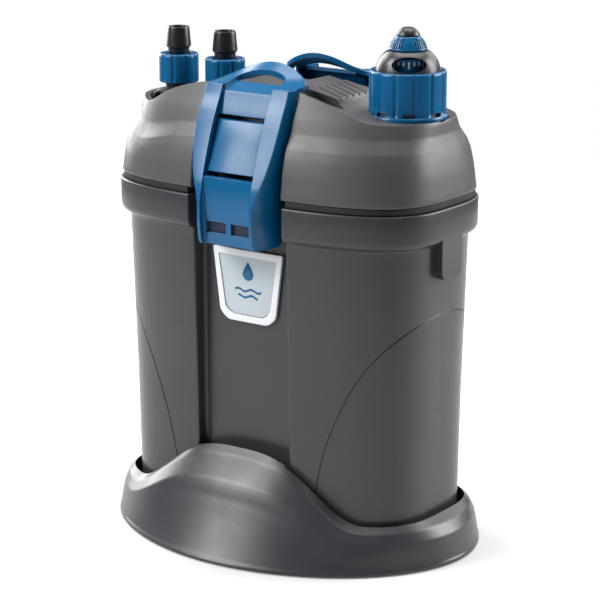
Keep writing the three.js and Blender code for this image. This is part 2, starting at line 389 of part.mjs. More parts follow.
add('rear_hinge_pin', back(pinSolid()), M.steel());
add('heater_collar', collar, M.blue());
add('heater_housing', housing, M.dome());
add('heater_scale_drum', drum, M.blue());
add('heater_dial', dial, M.blue());
add('heater_gland', gland, M.black());
add('heater_tube', glassTube, M.glass());
add('heater_element', element, M.ceramic());
add('heater_seal', heaterSeal, M.rubber());
add('hose_manifold', manifoldBody, M.black());
add('hose_elbow', elbow, M.black());
add('inlet_tail', tail(HOSE_X[0]), M.black());
add('outlet_tail', tail(HOSE_X[1]), M.black());
add('inlet_nut', nut(HOSE_X[0]), M.blue());
add('outlet_nut', nut(HOSE_X[1]), M.blue());
add('inlet_duct', duct(HOSE_X[0]), M.inner());
add('outlet_duct', duct(HOSE_X[1]), M.inner());
add('motor_block', motor, M.inner());
add('impeller_rotor', rotor, M.magnet());
add('impeller_shaft', shaft, M.ceramic());
add('shaft_bush_top', bushTop, M.rubber());
add('shaft_bush_bottom', bushLow, M.rubber());
add('volute_cover', volute, M.inner());
add('primer_pad', pad, M.head());
add('primer_spring', spring, M.steel());
add('mains_gland', cut(union(cylY(-72, 262, 58, 74, 4.8), cylY(-72, 262, 66.8, 70, 7.5)), cylY(-72, 262, 50, 80, 3.4)), M.rubber());
add('intake_tube', intake, M.inner());
add('intake_strainer', strainer, M.inner());
add('prefilter_sleeve', sleeve, M.foamC());
add('lower_basket', basket(17, 100), M.inner());
add('lower_foam', foam(19.5, 96), M.foamC());
add('upper_basket', basket(103, 186), M.inner());
add('upper_foam', foam(105.5, 182), M.foamF());
add('fleece_pad', foam(188.5, 204), M.fleece());

export default filter;
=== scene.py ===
import bpy, bmesh, math
import numpy as np
from mathutils import Vector, Matrix

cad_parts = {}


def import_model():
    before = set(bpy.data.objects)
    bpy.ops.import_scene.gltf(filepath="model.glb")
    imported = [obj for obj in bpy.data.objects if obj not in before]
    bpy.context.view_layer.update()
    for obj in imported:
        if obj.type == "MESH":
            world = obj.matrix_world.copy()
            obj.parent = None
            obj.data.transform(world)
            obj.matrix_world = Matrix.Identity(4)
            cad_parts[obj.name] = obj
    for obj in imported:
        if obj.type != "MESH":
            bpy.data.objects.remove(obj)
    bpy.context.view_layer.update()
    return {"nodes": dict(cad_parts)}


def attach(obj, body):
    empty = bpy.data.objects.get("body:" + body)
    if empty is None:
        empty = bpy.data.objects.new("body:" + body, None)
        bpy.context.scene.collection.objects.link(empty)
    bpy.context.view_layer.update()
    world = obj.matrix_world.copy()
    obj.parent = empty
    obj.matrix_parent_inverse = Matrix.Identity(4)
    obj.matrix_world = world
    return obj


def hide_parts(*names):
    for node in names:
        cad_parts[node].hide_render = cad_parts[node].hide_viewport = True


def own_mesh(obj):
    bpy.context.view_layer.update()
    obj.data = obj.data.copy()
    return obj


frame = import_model()
NODE = frame["nodes"]
MM = 0.001
rad = math.radians


# ------------------------------------------------------------------ camera
def look(obj, at):
    d = Vector(at) - obj.location
    obj.rotation_euler = d.to_track_quat("-Z", "Y").to_euler()


cam_data = bpy.data.cameras.new("camera")
cam = bpy.data.objects.new("camera", cam_data)
bpy.context.scene.collection.objects.link(cam)
cam.location = (0.8986, -1.2352, 0.5564)
look(cam, (0.0020, 0.0015, 0.1596))
cam_data.sensor_width = 36
cam_data.lens = 137.3
cam_data.clip_end = 50
bpy.context.scene.camera = cam


# ------------------------------------------------------------------ materials
def lin(*c):
    out = []
    for v in c:
        v /= 255
        out.append(v / 12.92 if v <= 0.04045 else ((v + 0.055) / 1.055) ** 2.4)
    return out


def tree(name):
    m = bpy.data.materials.new(name)
    m.use_nodes = True
    nt = m.node_tree
    nt.nodes.clear()
    out = nt.nodes.new("ShaderNodeOutputMaterial")
    b = nt.nodes.new("ShaderNodeBsdfPrincipled")
    nt.links.new(b.outputs[0], out.inputs[0])
    tc = nt.nodes.new("ShaderNodeTexCoord")
    return m, nt, b, tc.outputs["Object"]


def noise(nt, vec, scale, detail=3, rough=0.5, distort=0.0):
    n = nt.nodes.new("ShaderNodeTexNoise")
    n.inputs["Scale"].default_value = scale
    n.inputs["Detail"].default_value = detail
    n.inputs["Roughness"].default_value = rough
    n.inputs["Distortion"].default_value = distort
    nt.links.new(vec, n.inputs["Vector"])
    return n.outputs["Fac"]


def ramp(nt, fac, stops):
    r = nt.nodes.new("ShaderNodeValToRGB")
    e = r.color_ramp.elements
    while len(e) < len(stops):
        e.new(0.5)
    for i, (p, c) in enumerate(stops):
        e[i].position = p
        e[i].color = (*c, 1) if len(c) == 3 else c
    nt.links.new(fac, r.inputs["Fac"])
    return r.outputs["Color"]


def mapr(nt, fac, a, b, lo=0.3, hi=0.7):
    r = nt.nodes.new("ShaderNodeMapRange")
    r.inputs["From Min"].default_value = lo
    r.inputs["From Max"].default_value = hi
    r.inputs["To Min"].default_value = a
    r.inputs["To Max"].default_value = b
    nt.links.new(fac, r.inputs["Value"])
    return r.outputs["Result"]


def bump(nt, height, strength, dist, normal=None):
    n = nt.nodes.new("ShaderNodeBump")
    n.inputs["Strength"].default_value = strength
    n.inputs["Distance"].default_value = dist
    nt.links.new(height, n.inputs["Height"])
    if normal:
        nt.links.new(normal, n.inputs["Normal"])
    return n.outputs["Normal"]


def plastic(name, rgb, rough=0.45, spread=0.05, grain=0.5, depth=0.03, strength=0.25, vary=0.07, coat=0.0, spec=0.5, edge=0.35, metallic=0.0):
    """Moulded plastic: slow colour drift, fine spark-eroded grain of that size in mm, handling marks in the gloss, softened edges."""
    m, nt, b, co = tree(name)
    base = np.array(lin(*rgb))
    slow = noise(nt, co, 14, 4, 0.55)
    c0 = tuple(base * (1 - vary)); c1 = tuple(np.minimum(1, base * (1 + vary)))
    col = ramp(nt, slow, [(0.3, c0), (0.7, c1)])
    nt.links.new(col, b.inputs["Base Color"])
    marks = noise(nt, co, 55, 5, 0.65, 0.4)
    nt.links.new(mapr(nt, marks, rough - spread, rough + spread), b.inputs["Roughness"])
    fine = noise(nt, co, 1000 / grain, 2, 0.6)
    nrm = None
    if edge:
        bv = nt.nodes.new("ShaderNodeBevel")
        bv.samples = 6
        bv.inputs["Radius"].default_value = edge * MM
        nrm = bv.outputs["Normal"]
    nt.links.new(bump(nt, fine, strength, depth * MM, nrm), b.inputs["Normal"])
    b.inputs["Coat Weight"].default_value = coat
    b.inputs["Coat Roughness"].default_value = 0.12
    b.inputs["Specular IOR Level"].default_value = spec
    b.inputs["Metallic"].default_value = metallic
    return m


MAT = {
    "body": plastic("body_satin", (54, 54, 58), 0.31, 0.04, 0.55, 0.02, 0.22, 0.06, spec=0.42),
    "head": plastic("head_grained", (72, 71, 73), 0.41, 0.05, 0.9, 0.05, 0.35, 0.06, spec=0.5),
    "foot": plastic("foot_satin", (50, 50, 55), 0.33, 0.05, 0.6, 0.02, 0.22, 0.06),
    "blue": plastic("blue_gloss", (0, 86, 132), 0.23, 0.03, 1.6, 0.006, 0.08, 0.05, coat=0.05, spec=0.36, edge=0.45),
    "black": plastic("black_satin", (24, 23, 26), 0.33, 0.06, 0.7, 0.02, 0.2, 0.12),
    "dome": plastic("dome_satin", (40, 37, 41), 0.34, 0.05, 0.6, 0.015, 0.15, 0.06, coat=0.1),
    "inner": plastic("inner_moulded", (52, 53, 58), 0.55, 0.06, 0.8, 0.03, 0.3, 0.08, edge=0),
    "rubber": plastic("seal_rubber", (17, 17, 19), 0.7, 0.08, 0.4, 0.03, 0.4, 0.2, edge=0),
    "white": plastic("badge_white", (222, 226, 230), 0.35, 0.05, 0.5, 0.01, 0.12, 0.02),
    "silver": plastic("badge_inset", (176, 186, 192), 0.32, 0.05, 0.4, 0.01, 0.12, 0.03, metallic=0.0),
    "slot": plastic("slot_shade", (6, 24, 52), 0.5, 0.05, 0.5, 0.01, 0.1, 0.05, edge=0),
    "tick": plastic("scale_white", (235, 240, 245), 0.4, 0.05, 0.5, 0.01, 0.1, 0.02, edge=0),
    "ceramic": plastic("ceramic_glazed", (228, 224, 214), 0.4, 0.08, 0.3, 0.01, 0.3, 0.04, edge=0),
    "magnet": plastic("sintered_magnet", (54, 51, 49), 0.5, 0.08, 0.25, 0.03, 0.4, 0.15, edge=0),
}


def steel(name):
    m, nt, b, co = tree(name)
    mp = nt.nodes.new("ShaderNodeMapping")
    mp.inputs["Scale"].default_value = (1, 1, 14)
    nt.links.new(co, mp.inputs["Vector"])
    n = noise(nt, mp.outputs[0], 220, 4, 0.6)
    nt.links.new(ramp(nt, n, [(0.3, lin(170, 172, 176)), (0.7, lin(205, 207, 210))]), b.inputs["Base Color"])
    nt.links.new(mapr(nt, n, 0.2, 0.38), b.inputs["Roughness"])
    nt.links.new(bump(nt, n, 0.2, 0.01 * MM), b.inputs["Normal"])
    b.inputs["Metallic"].default_value = 1.0
    return m


def glass(name):
    m, nt, b, co = tree(name)
    n = noise(nt, co, 30, 4)
    nt.links.new(ramp(nt, n, [(0.3, lin(214, 228, 230)), (0.7, lin(236, 244, 244))]), b.inputs["Base Color"])
    nt.links.new(mapr(nt, n, 0.03, 0.1), b.inputs["Roughness"])
    b.inputs["Transmission Weight"].default_value = 0.9
    b.inputs["IOR"].default_value = 1.47
    return m


def foam(name, rgb, cell):
    m, nt, b, co = tree(name)
    v = nt.nodes.new("ShaderNodeTexVoronoi")
    v.feature = "DISTANCE_TO_EDGE"
    v.inputs["Scale"].default_value = 1000 / cell
    nt.links.new(co, v.inputs["Vector"])
    base = np.array(lin(*rgb))
    # pore middles darkened to a quarter of the foam colour: painted shade in the pores; cell walls lightened by half:
    # painted highlight on the struts
    nt.links.new(ramp(nt, v.outputs["Distance"], [(0.0, tuple(np.minimum(1, base * 1.5))), (0.12, tuple(base)), (0.35, tuple(base * 0.25))]), b.inputs["Base Color"])
    nt.links.new(bump(nt, v.outputs["Distance"], 0.9, 0.5 * MM), b.inputs["Normal"])
    b.inputs["Roughness"].default_value = 0.95
    b.inputs["Sheen Weight"].default_value = 0.2
    return m


def fibre(name):
    m, nt, b, co = tree(name)
    n = noise(nt, co, 900, 6, 0.75, 2.5)
    nt.links.new(ramp(nt, n, [(0.3, lin(205, 203, 194)), (0.7, lin(245, 244, 238))]), b.inputs["Base Color"])
    nt.links.new(bump(nt, n, 0.8, 0.4 * MM), b.inputs["Normal"])
    b.inputs["Roughness"].default_value = 0.95
    b.inputs["Sheen Weight"].default_value = 0.4
    return m


MAT["steel"] = steel("pin_steel")
MAT["glass"] = glass("heater_glass")
MAT["foam_c"] = foam("foam_coarse_blue", (38, 84, 126), 1.8)
MAT["foam_f"] = foam("foam_fine_black", (44, 44, 47), 1.0)
MAT["fleece"] = fibre("fleece_white")


# ------------------------------------------------------------------ mesh helpers, all sizes in mm
def obj(name, verts, faces):
    me = bpy.data.meshes.new(name)
    me.from_pydata([(float(x) * MM, float(y) * MM, float(z) * MM) for x, y, z in verts], [], faces)
    me.validate()
    me.update()
    o = bpy.data.objects.new(name, me)
    bpy.context.scene.collection.objects.link(o)
    return o


def loft(name, rings, close=False):
    """Rings from bottom to top, counter-clockwise seen from above, capped at both ends or joined end to end."""
    n = len(rings[0]); m = len(rings)
    verts = [tuple(p) for r in rings for p in r]
    faces = []
    for k in range(m if close else m - 1):
        a, b = k * n, ((k + 1) % m) * n
        for i in range(n):
            j = (i + 1) % n
            faces.append((a + i, a + j, b + j, b + i))
    if not close:
        faces.append(tuple(range(n - 1, -1, -1)))
        faces.append(tuple(range((m - 1) * n, m * n)))
    return obj(name, verts, faces)


def lathe(name, prof, x=0, y=0, seg=64, radial=None, axis="z"):
    """prof: [(r, z)...] from the axis at the bottom round the outside to the axis at the top, or a closed loop that doesn't touch the axis."""
    touch = prof[0][0] == 0 and prof[-1][0] == 0
    body = prof[1:-1] if touch else prof
    rings = []
    for r, z in body:
        ring = []
        for i in range(seg):
            t = 2 * math.pi * i / seg
            q = radial(r, z, t) if radial else r
            ring.append((x + q * math.cos(t), y + q * math.sin(t), z))
        rings.append(ring)
    if not touch:
        return loft(name, rings, close=True)
    n = seg; m = len(rings)
    verts = [p for r in rings for p in r] + [(x, y, prof[0][1]), (x, y, prof[-1][1])]
    faces = []
    for k in range(m - 1):
        for i in range(n):
            j = (i + 1) % n
            faces.append((k * n + i, k * n + j, (k + 1) * n + j, (k + 1) * n + i))
    lo, hi = m * n, m * n + 1
    for i in range(n):
        j = (i + 1) % n
        faces.append((lo, j, i))
        faces.append((hi, (m - 1) * n + i, (m - 1) * n + j))
    return obj(name, verts, faces)


def turn_y(o, x, z):
    """A lathe made about the Z axis through the origin is laid down to run along +Y, on the line x, z."""
    for v in o.data.vertices:
        a, b, c = v.co
        v.co = (a + x * MM, c, -b + z * MM)
    return o


def rpoly(pts, r, seg=4):
    """Polygon with its corners rounded by r, or by a list of radii."""
    n = len(pts); out = []
    for i in range(n):
        p0, p, p1 = (np.array(pts[(i + k) % n], float) for k in (-1, 0, 1))
        ri = r[i] if isinstance(r, (list, tuple)) else r
        if ri <= 0:
            out.append(tuple(p)); continue
        a = p0 - p; b = p1 - p
        la, lb = np.linalg.norm(a), np.linalg.norm(b)
        d = min(ri, la * 0.45, lb * 0.45)
        s, e = p + a / la * d, p + b / lb * d
        for k in range(seg + 1):
            t = k / seg
            out.append(tuple((1 - t) ** 2 * s + 2 * t * (1 - t) * p + t * t * e))
    return out


def inset(pts, d):
    """Closed polygon, counter-clockwise, moved in by d."""
    P = np.array(pts, float)
    e = np.roll(P, -1, 0) - P
    L = np.linalg.norm(e, axis=1, keepdims=True)
    nrm = np.stack([-e[:, 1], e[:, 0]], 1) / L
    b = nrm + np.roll(nrm, 1, 0)
    b /= np.linalg.norm(b, axis=1, keepdims=True)
    c = np.sum(b * nrm, 1, keepdims=True)
    return [tuple(p) for p in P + b * d / np.maximum(c, 0.4)]


def prism(name, pts, z0, z1, ch=0.4, seg=3):
    low = [[(x, y, z0 + ch * (1 - math.cos(k / seg * math.pi / 2))) for x, y in inset(pts, ch * (1 - math.sin(k / seg * math.pi / 2)))] for k in range(seg + 1)]
    high = [[(x, y, z1 - ch * (1 - math.sin(k / seg * math.pi / 2))) for x, y in inset(pts, ch * (1 - math.cos(k / seg * math.pi / 2)))] for k in range(seg + 1)]
    if not ch:
        low = [[(x, y, z0) for x, y in pts]]; high = [[(x, y, z1) for x, y in pts]]
    return loft(name, low + high)


def swap(o, how):
    """Puts a prism made along Z along another axis: 'x' maps (a, b, c) to (c, a, b), 'y' maps (a, b, c) to (a, -c, b)."""
    for v in o.data.vertices:
        a, b, c = v.co
        v.co = (c, a, b) if how == "x" else (a, -c, b)
    return o


def box(name, x0, x1, y0, y1, z0, z1):
    return prism(name, [(x0, y0), (x1, y0), (x1, y1), (x0, y1)], z0, z1, 0)


def boolean(a, b, op="DIFFERENCE", drop=True):
    m = a.modifiers.new("cut", "BOOLEAN")
    m.operation = op
    m.solver = "EXACT"
    m.object = b
    apply(a)
    if drop:
        bpy.data.objects.remove(b)
    return a


def apply(o):
    dg = bpy.context.evaluated_depsgraph_get()
    dg.update()
    me = bpy.data.meshes.new_from_object(o.evaluated_get(dg), depsgraph=dg)
    me.name = o.name
    o.modifiers.clear()
    o.data = me
    return o


def clean(o, dist=0.02, flat=0.0):
    bm = bmesh.new()
    bm.from_mesh(o.data)
    bmesh.ops.remove_doubles(bm, verts=bm.verts, dist=dist * MM)
    bmesh.ops.dissolve_degenerate(bm, edges=bm.edges, dist=dist * MM * 0.5)
    if flat:
        bmesh.ops.dissolve_limit(bm, angle_limit=rad(flat), verts=bm.verts, edges=bm.edges)
    bmesh.ops.recalc_face_normals(bm, faces=bm.faces)
    bm.to_mesh(o.data)
    bm.free()
    return o


def bevel(o, w, seg=2, angle=40):
    m = o.modifiers.new("edge", "BEVEL")
    m.width = w * MM
    m.segments = seg
    m.limit_method = "ANGLE"
    m.angle_limit = rad(angle)
    m.use_clamp_overlap = True
    return apply(o)


def piece(o, body, mat, slot, *nodes, sharp=38):
    o.data.materials.clear()
    o.data.materials.append(MAT[mat])
    for p in o.data.polygons:
        p.use_smooth = True
    o.data.set_sharp_from_angle(angle=rad(sharp))
    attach(o, body)
    if nodes:
        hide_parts(*nodes)
    return o


def mirrored_copy(o, name):
    """The same piece turned half a turn about Z."""
    me = o.data.copy()
    me.name = name
    for v in me.vertices:
        v.co = (-v.co.x, -v.co.y, v.co.z)
    c = bpy.data.objects.new(name, me)
    bpy.context.scene.collection.objects.link(c)
    return c


# ------------------------------------------------------------------ outlines
def resample(P, count):
    P = np.array(P, float)
    L = np.concatenate([[0], np.cumsum(np.linalg.norm(np.diff(P, axis=0), axis=1))])
    s = np.linspace(0, L[-1], count)
    return [(float(np.interp(v, L, P[:, 0])), float(np.interp(v, L, P[:, 1]))) for v in s]


def quad(A, B, n, x_end, count):
    t = np.linspace(0, math.acos(min(1, (x_end / A) ** (n / 2))), 900)
    P = np.stack([A * np.cos(t) ** (2 / n), B * np.sin(t) ** (2 / n)], 1)
    P[0] = (A, 0)
    return resample(P, count)


def mirror4(q):
    left = [(-x, y) for x, y in q[::-1]]
    if abs(q[-1][0]) < 1e-6:
        left = left[1:]
    top = q + left
    bottom = [(x, -y) for x, y in top[1:-1][::-1]]
    return top + bottom


def ellipse(A, B, n, count=56):
    q = quad(A, B, n, 0, count)
    q[-1] = (0.0, B)
    return mirror4(q)


def bez(a, b, c, k):
    a, b, c = (np.array(v, float) for v in (a, b, c))
    return [tuple((1 - t) ** 2 * a + 2 * t * (1 - t) * b + t * t * c) for t in np.linspace(0, 1, k)]


def channel(A, B, n, w, f, r=3.0, rc=1.3, count=54):
    q = quad(A, B, n, w + rc, count)
    yc = B * (1 - (w / A) ** n) ** (1 / n)
    q += bez(q[-1], (w, yc), (w, yc - rc), 6)[1:]
    q += [(w, yc - rc - (yc - rc - f - r) * t) for t in (0.33, 0.66)]
    q += bez((w, f + r), (w, f), (w - r, f), 7)
    q += [(w - r - (w - r) * t, f) for t in (0.25, 0.5, 0.75)]
    q.append((0.0, f))
    return mirror4(q)


RIM_A, RIM_B, RIM_N = 126.2, 70.4, 3.4
def rim(d, w, f, **k):
    return channel(RIM_A - d, RIM_B - d, RIM_N, w, f, **k)


def at(r, z):
    return [(x, y, z) for x, y in r]


def smooth_table(rows, step, width):
    """Rows [z, ...] resampled at a step in z, with the corners between the rows rounded over that width."""
    R = np.array(rows, float)
    z = np.arange(R[0, 0], R[-1, 0] + step / 2, step)
    k = np.linspace(-width / 2, width / 2, 9)
    out = [z]
    for c in range(1, R.shape[1]):
        out.append(np.mean([np.interp(np.clip(z + s, R[0, 0] - 0, R[-1, 0]), R[:, 0], R[:, c]) for s in k], 0))
    return np.stack(out, 1)


# ------------------------------------------------------------------ foot
FOOT_A, FOOT_B, FOOT_N = 137.5, 106.3, 1.93
RECESS_W, RECESS_D = 38.3, 53.0


def wave(x):
    return 0.5 * (1 + math.cos(math.pi * (min(abs(x), 95) / 95) ** 1.5))


def foot_rings(shrink, drop, fine=True):
    count = 60 if fine else 24
    out = ellipse(FOOT_A - shrink, FOOT_B - shrink, FOOT_N, count)
    lip = ellipse(RIM_A - 5 - shrink * 0.3, RIM_B - 6 - shrink * 0.3, RIM_N, count)
    K = np.array([[0.0, 0.0, 0.0, 0.8, 0.8], [0.2, 0.004, 0.004, 2.6, 2.6], [1, 0.09, 0.09, 5, 6], [2, 0.2, 0.36, 14, 26], [3, 0.32, 0.59, 20, 49.5], [4, 0.6, 0.93, 26.5, 64.5], [5, 1, 1, 31, 70]])
    if fine:
        t = np.concatenate([np.linspace(0, 2.7, 26), np.linspace(2.8, 3.2, 11), np.linspace(3.3, 3.75, 5), np.linspace(3.8, 4.2, 11), np.linspace(4.3, 5, 6)])
    else:
        t = K[:, 0]
    rings = []
    for v in t:
        w = 0.12 if fine and 0.2 < v < 4.9 else 0.0
        if fine and 0.6 < v < 2.6:
            w = 0.6
        q = [np.mean([np.interp(v + s, K[:, 0], K[:, c]) for s in (np.linspace(-w, w, 9) if w else [0])]) for c in range(1, 5)]
        s_end, s_mid, z_end, z_mid = q
        ring = []
        for p, l in zip(out, lip):
            u = wave(l[0]); s = s_end + (s_mid - s_end) * u
            ring.append((p[0] + (l[0] - p[0]) * s, p[1] + (l[1] - p[1]) * s, z_end + (z_mid - z_end) * u - drop))
        rings.append(ring)
    return rings


foot = loft("foot", foot_rings(0, 0))
under = foot_rings(3.2, 3.4, False)
under[0] = [(x, y, -2) for x, y, z in under[0]]
hollow = loft("hollow", under)
core_ring = rim(2.2, RECESS_W - 3.6, RECESS_D + 3.4, count=24)
hollow = boolean(hollow, loft("core", [at(core_ring, 6.5), at(core_ring, 90)]))
foot = boolean(foot, hollow)
pocket_ring = rim(5.2, RECESS_W - 0.9, RECESS_D + 0.6, count=40)
foot = boolean(foot, loft("pocket", [at(pocket_ring, 10), at(pocket_ring, 90)]))
clean(foot)
piece(foot, "filter", "foot", "foot_plastic", "base_foot", sharp=42)

for i, (x, y) in enumerate([(-92, -46), (92, -46), (92, 46), (-92, 46)]):
    o = lathe(f"foot_pad_{i + 1}", [(0, 0), (6.4, 0), (7.0, 0.2), (7.6, 0.6), (7.9, 1.2), (8, 2), (8, 6.2), (0, 6.2)], x, y, 40)
    piece(o, "filter", "rubber", "seal_rubber", f"rubber_foot_{i + 1}")

# ------------------------------------------------------------------ canister
OUT = [(10.4, 11.2), (10.7, 10.7), (11.4, 10.3), (13, 10.15), (34, 9.5), (105, 8.4), (191, 6.2), (215.8, 5.55), (217.0, 5.35), (217.7, 4.6), (218.3, 3.2), (218.9, 2.1), (219.7, 1.25), (220.8, 0.55), (222.2, 0.12), (223.6, 0.0), (240.2, 0.0), (240.8, 0.12), (241.15, 0.4), (241.3, 0.8)]
rows = []
for (za, da), (zb, db) in zip(OUT[:-1], OUT[1:]):
    k = max(1, int((zb - za) / 6))
    for i in range(k):
        t = i / k
        rows.append((za + (zb - za) * t, da + (db - da) * t))
rows.append(OUT[-1])
rings = [at(rim(d, RECESS_W, RECESS_D), z) for z, d in rows]
rings += [at(rim(d, RECESS_W + 3.2, RECESS_D - 3.2), z) for z, d in [(241.3, 8.8), (240.9, 9.1), (150, 10.8), (20, 13.4), (15, 15), (13.4, 18)]]
can = loft("canister_shell", rings)

for s in (-1, 1):
    tp = rpoly([(-12, 229), (-12, 198), (-9.6, 193.8), (9.6, 193.8), (12, 198), (12, 229)], [0, 3, 3, 3, 3, 0], 5)
    t = swap(prism("tab", [(y, z) for y, z in tp], 117.5, 126.0, 0), "x")
    if s < 0:
        t.data.transform(Matrix.Rotation(math.pi, 4, "Z"))
    sh = [at(rim(d, RECESS_W, RECESS_D, count=30), z) for z, d in [(180, 1.6), (190.4, 1.1), (192, 0.35), (194, 0.15), (232, 0.15)]]
    boolean(t, loft("tab_cut", sh), "INTERSECT")
    boolean(can, t, "UNION")
for s in (-1, 1):
    for a, b in ((-17, -3.5), (3.5, 17)):
        pts = [(52.5, 215), (69.9, 221.8), (70.5, 222.4), (70.5, 225.2), (70.1, 225.6), (52.5, 225.6)]
        lug = swap(prism("lug", pts if s > 0 else [(-y, z) for y, z in pts[::-1]], a, b, 0), "x")
        boolean(can, lug, "UNION")

# thin moulded line that sweeps round each corner column
ARC = [(0, 0), (119.1, 167.9), (118.3, 166.2), (116.2, 163.7), (109.6, 156.7), (100.6, 146), (89.9, 132.2), (81.9, 117.7), (75.7, 104.5), (69.2, 89), (63.9, 73.1), (59.3, 53.1), (56.5, 38)]


def body_inset(z):
    return float(np.interp(z, [10.4, 34, 105, 191, 217.4], [10.3, 9.5, 8.4, 6.2, 5.5]))


def body_y(x, z):
    d = body_inset(z)
    return (RIM_B - d) * max(0.0, 1 - (abs(x) / (RIM_A - d)) ** RIM_N) ** (1 / RIM_N)


def arc_points():
    t = np.linspace(0, len(ARC) - 2, 70)
    A = np.array(ARC[1:])
    out = []
    for v in t:
        w = np.linspace(-0.8, 0.8, 9)
        x = np.mean([np.interp(v + s, range(len(A)), A[:, 0]) for s in w])
        z = np.mean([np.interp(v + s, range(len(A)), A[:, 1]) for s in w])
        out.append((x, -body_y(x, z), z))
    a = out[0]
    start = []
    for ang in np.linspace(-0.06, 1, 10)[:-1]:
        y = a[1] * ang
        d = body_inset(168.0)
        x = (RIM_A - d) * (1 - (abs(y) / (RIM_B - d)) ** RIM_N) ** (1 / RIM_N)
        z = 169.0 + (a[2] - 169.0) * ang ** 2
        start.append((x, y, z))
    return start + out


def sweep(name, path, r, sides=8):
    P = [Vector(p) for p in path]
    rings = []
    for i, p in enumerate(P):
        t = (P[min(i + 1, len(P) - 1)] - P[max(i - 1, 0)]).normalized()
        n = Vector((p.x * 0.6, p.y * 2, 0)).normalized()
        u = t.cross(n).normalized(); n = u.cross(t).normalized()
        rings.append([tuple(p + n * (r * math.cos(a)) + u * (r * math.sin(a))) for a in [2 * math.pi * k / sides for k in range(sides)]])
    return loft(name, rings)


path = arc_points()
for sx, sy in ((1, 1), (-1, 1), (1, -1), (-1, -1)):
    g = sweep("groove", [(sx * x, sy * y, z) for x, y, z in path], 0.62)
    clean(g, 0.001)
    boolean(can, g)
clean(can)
piece(can, "filter", "body", "body_plastic", "canister", sharp=40)

# ------------------------------------------------------------------ seal band
so = [at(rim(d, 40, 51.4), z) for z, d in [(241.6, 2.3), (241.9, 1.9), (243.2, 1.75), (245.3, 1.85), (245.7, 2.2)]]
si = [at(rim(9, 43, 48.8), z) for z in (245.7, 241.6)]
seal = loft("seal_band", so + si, close=True)
piece(seal, "filter", "rubber", "seal_rubber", "canister_seal")

# ------------------------------------------------------------------ head cover
HEAD = [[246, 125.1, 69.3, 3.4, 46.4], [263.4, 123.1, 67.3, 3.4, 46.4], [273.5, 121.2, 65.3, 3.4, 46.4], [279.5, 119.8, 63.4, 3.3, 46.4],
        [288, 117.6, 58.6, 2.9, 43.5], [297, 117, 56, 2.65, 42], [305, 112, 52.5, 2.6, 39], [317, 104, 47.5, 2.6, 34.5]]


def head_row(z):
    H = np.array(HEAD)
    w = 0.9 if (278 < z < 290) else 2.2
    return [float(np.mean([np.interp(z + s, H[:, 0], H[:, c]) for s in np.linspace(-w, w, 9)])) for c in range(1, 5)]


zs = [246, 246.2, 246.6, 247.2] + list(np.arange(249.5, 277, 2.5)) + list(np.arange(277.4, 290.4, 0.55)) + list(np.arange(291.5, 317.4, 1.5))
rings = []
for z in zs:
    A, B, n, f = head_row(z)
    e = max(0, 0.8 - (z - 246)) * 0.9 if z < 247 else 0
    fall = math.exp(-((z - 283.5) / (19.0 if z < 283.5 else 11.5)) ** 2)
    ring = []
    for x, y in channel(A - e, B - e, n, 36.8, f):
        drop = 0.0
        if x < -37:
            drop = float(np.interp(-x, [37, 56, 70, 82, 92, 101, 112, 120], [0, 1.2, 4.4, 7.0, 8.5, 8.0, 5.0, 3.0])) * fall
        ring.append((x, y, z - drop))
    rings.append(ring)
head = loft("head_cover_shell", rings)
TOP = [(0, 314.5), (36, 314), (50, 310.3), (66, 305), (80, 300.3), (89, 297.8), (98, 297.2), (108, 297), (135, 297)]


TOP_L = [(0, 314.5), (36, 314), (47, 312.8), (54, 311.4), (63, 308.7), (73, 305.3), (82, 300.9), (88, 297.4), (92, 295.2), (97, 294.2), (103, 295.2), (108, 296.6), (135, 297)]


def arch(x):
    T = np.array(TOP if x > 0 else TOP_L)
    w = 5 if abs(x) > 41 else 0.5
    return float(np.mean([np.interp(abs(x) + s, T[:, 0], T[:, 1]) for s in np.linspace(-w, w, 11)]))


pts = [(-132, 236), (132, 236)] + [(x, arch(x)) for x in np.linspace(132, -132, 160)]
boolean(head, swap(prism("arch", pts, -82, 82, 0), "y"), "INTERSECT")
cav = [at(rim(d, w, f, count=24), z) for z, d, w, f in [(238, 4.4, 40, 43), (250, 7, 40, 42.6), (260, 12, 40, 40), (268, 20, 40, 36)]]
boolean(head, loft("cavity", cav))
WELL = [(-112.5, -8), (-110.5, -17), (-106, -26), (-100, -32), (-92, -37.5), (-80, -42), (-41, -44), (-41, 44), (-80, 42), (-92, 37.5), (-100, 32), (-106, 26), (-110.5, 17), (-112.5, 8)]
boolean(head, prism("well", rpoly(WELL, 5, 4), 286, 330, 0))
boolean(head, prism("plateau", rpoly([(-42, -41), (36.8, -41), (36.8, 41), (-42, 41)], 0.8, 2), 309.6, 332, 0))
GROOVE = [(12, -24), (36.8, -41), (36.8, -46), (60, -44), (72, -36), (72, 36), (60, 44), (36.8, 46), (36.8, 41), (12, 24)]
boolean(head, prism("valley", rpoly(GROOVE, [0, 0, 0, 6, 6, 6, 6, 0, 0, 0], 4), 291, 332, 0))
boolean(head, lathe("spring_well", [(0, 287.6), (9.4, 287.6), (9.4, 292), (0, 292)], 32, 0, 32))
for s in (-1, 1):
    d = [(s * 46, 306.2), (s * 30, 307.4), (s * 22, 309.7), (s * 22, 332), (s * 46, 332)]
    boolean(head, swap(prism("dip", d if s < 0 else d[::-1], -36.8, 36.8, 0), "x"))
boolean(head, lathe("seat_cut", [(0, 296), (27.3, 296), (27.3, 333), (0, 333)], 89.6, 0, 72))
seat = lathe("seat", [(0, 282), (27, 282), (27, 296), (0, 296)], 89.6, 0, 72)
A, B, n, f = head_row(290)
boolean(seat, loft("seat_in", [at(channel(*head_row(z)[:3], 36.8, head_row(z)[3], count=24), z) for z in (280, 284, 288, 292, 297)]), "INTERSECT")
boolean(head, seat, "UNION")
neck = [(21.8, 285), (23, 285), (23, 317.4), (22.6, 318), (21.8, 318)]
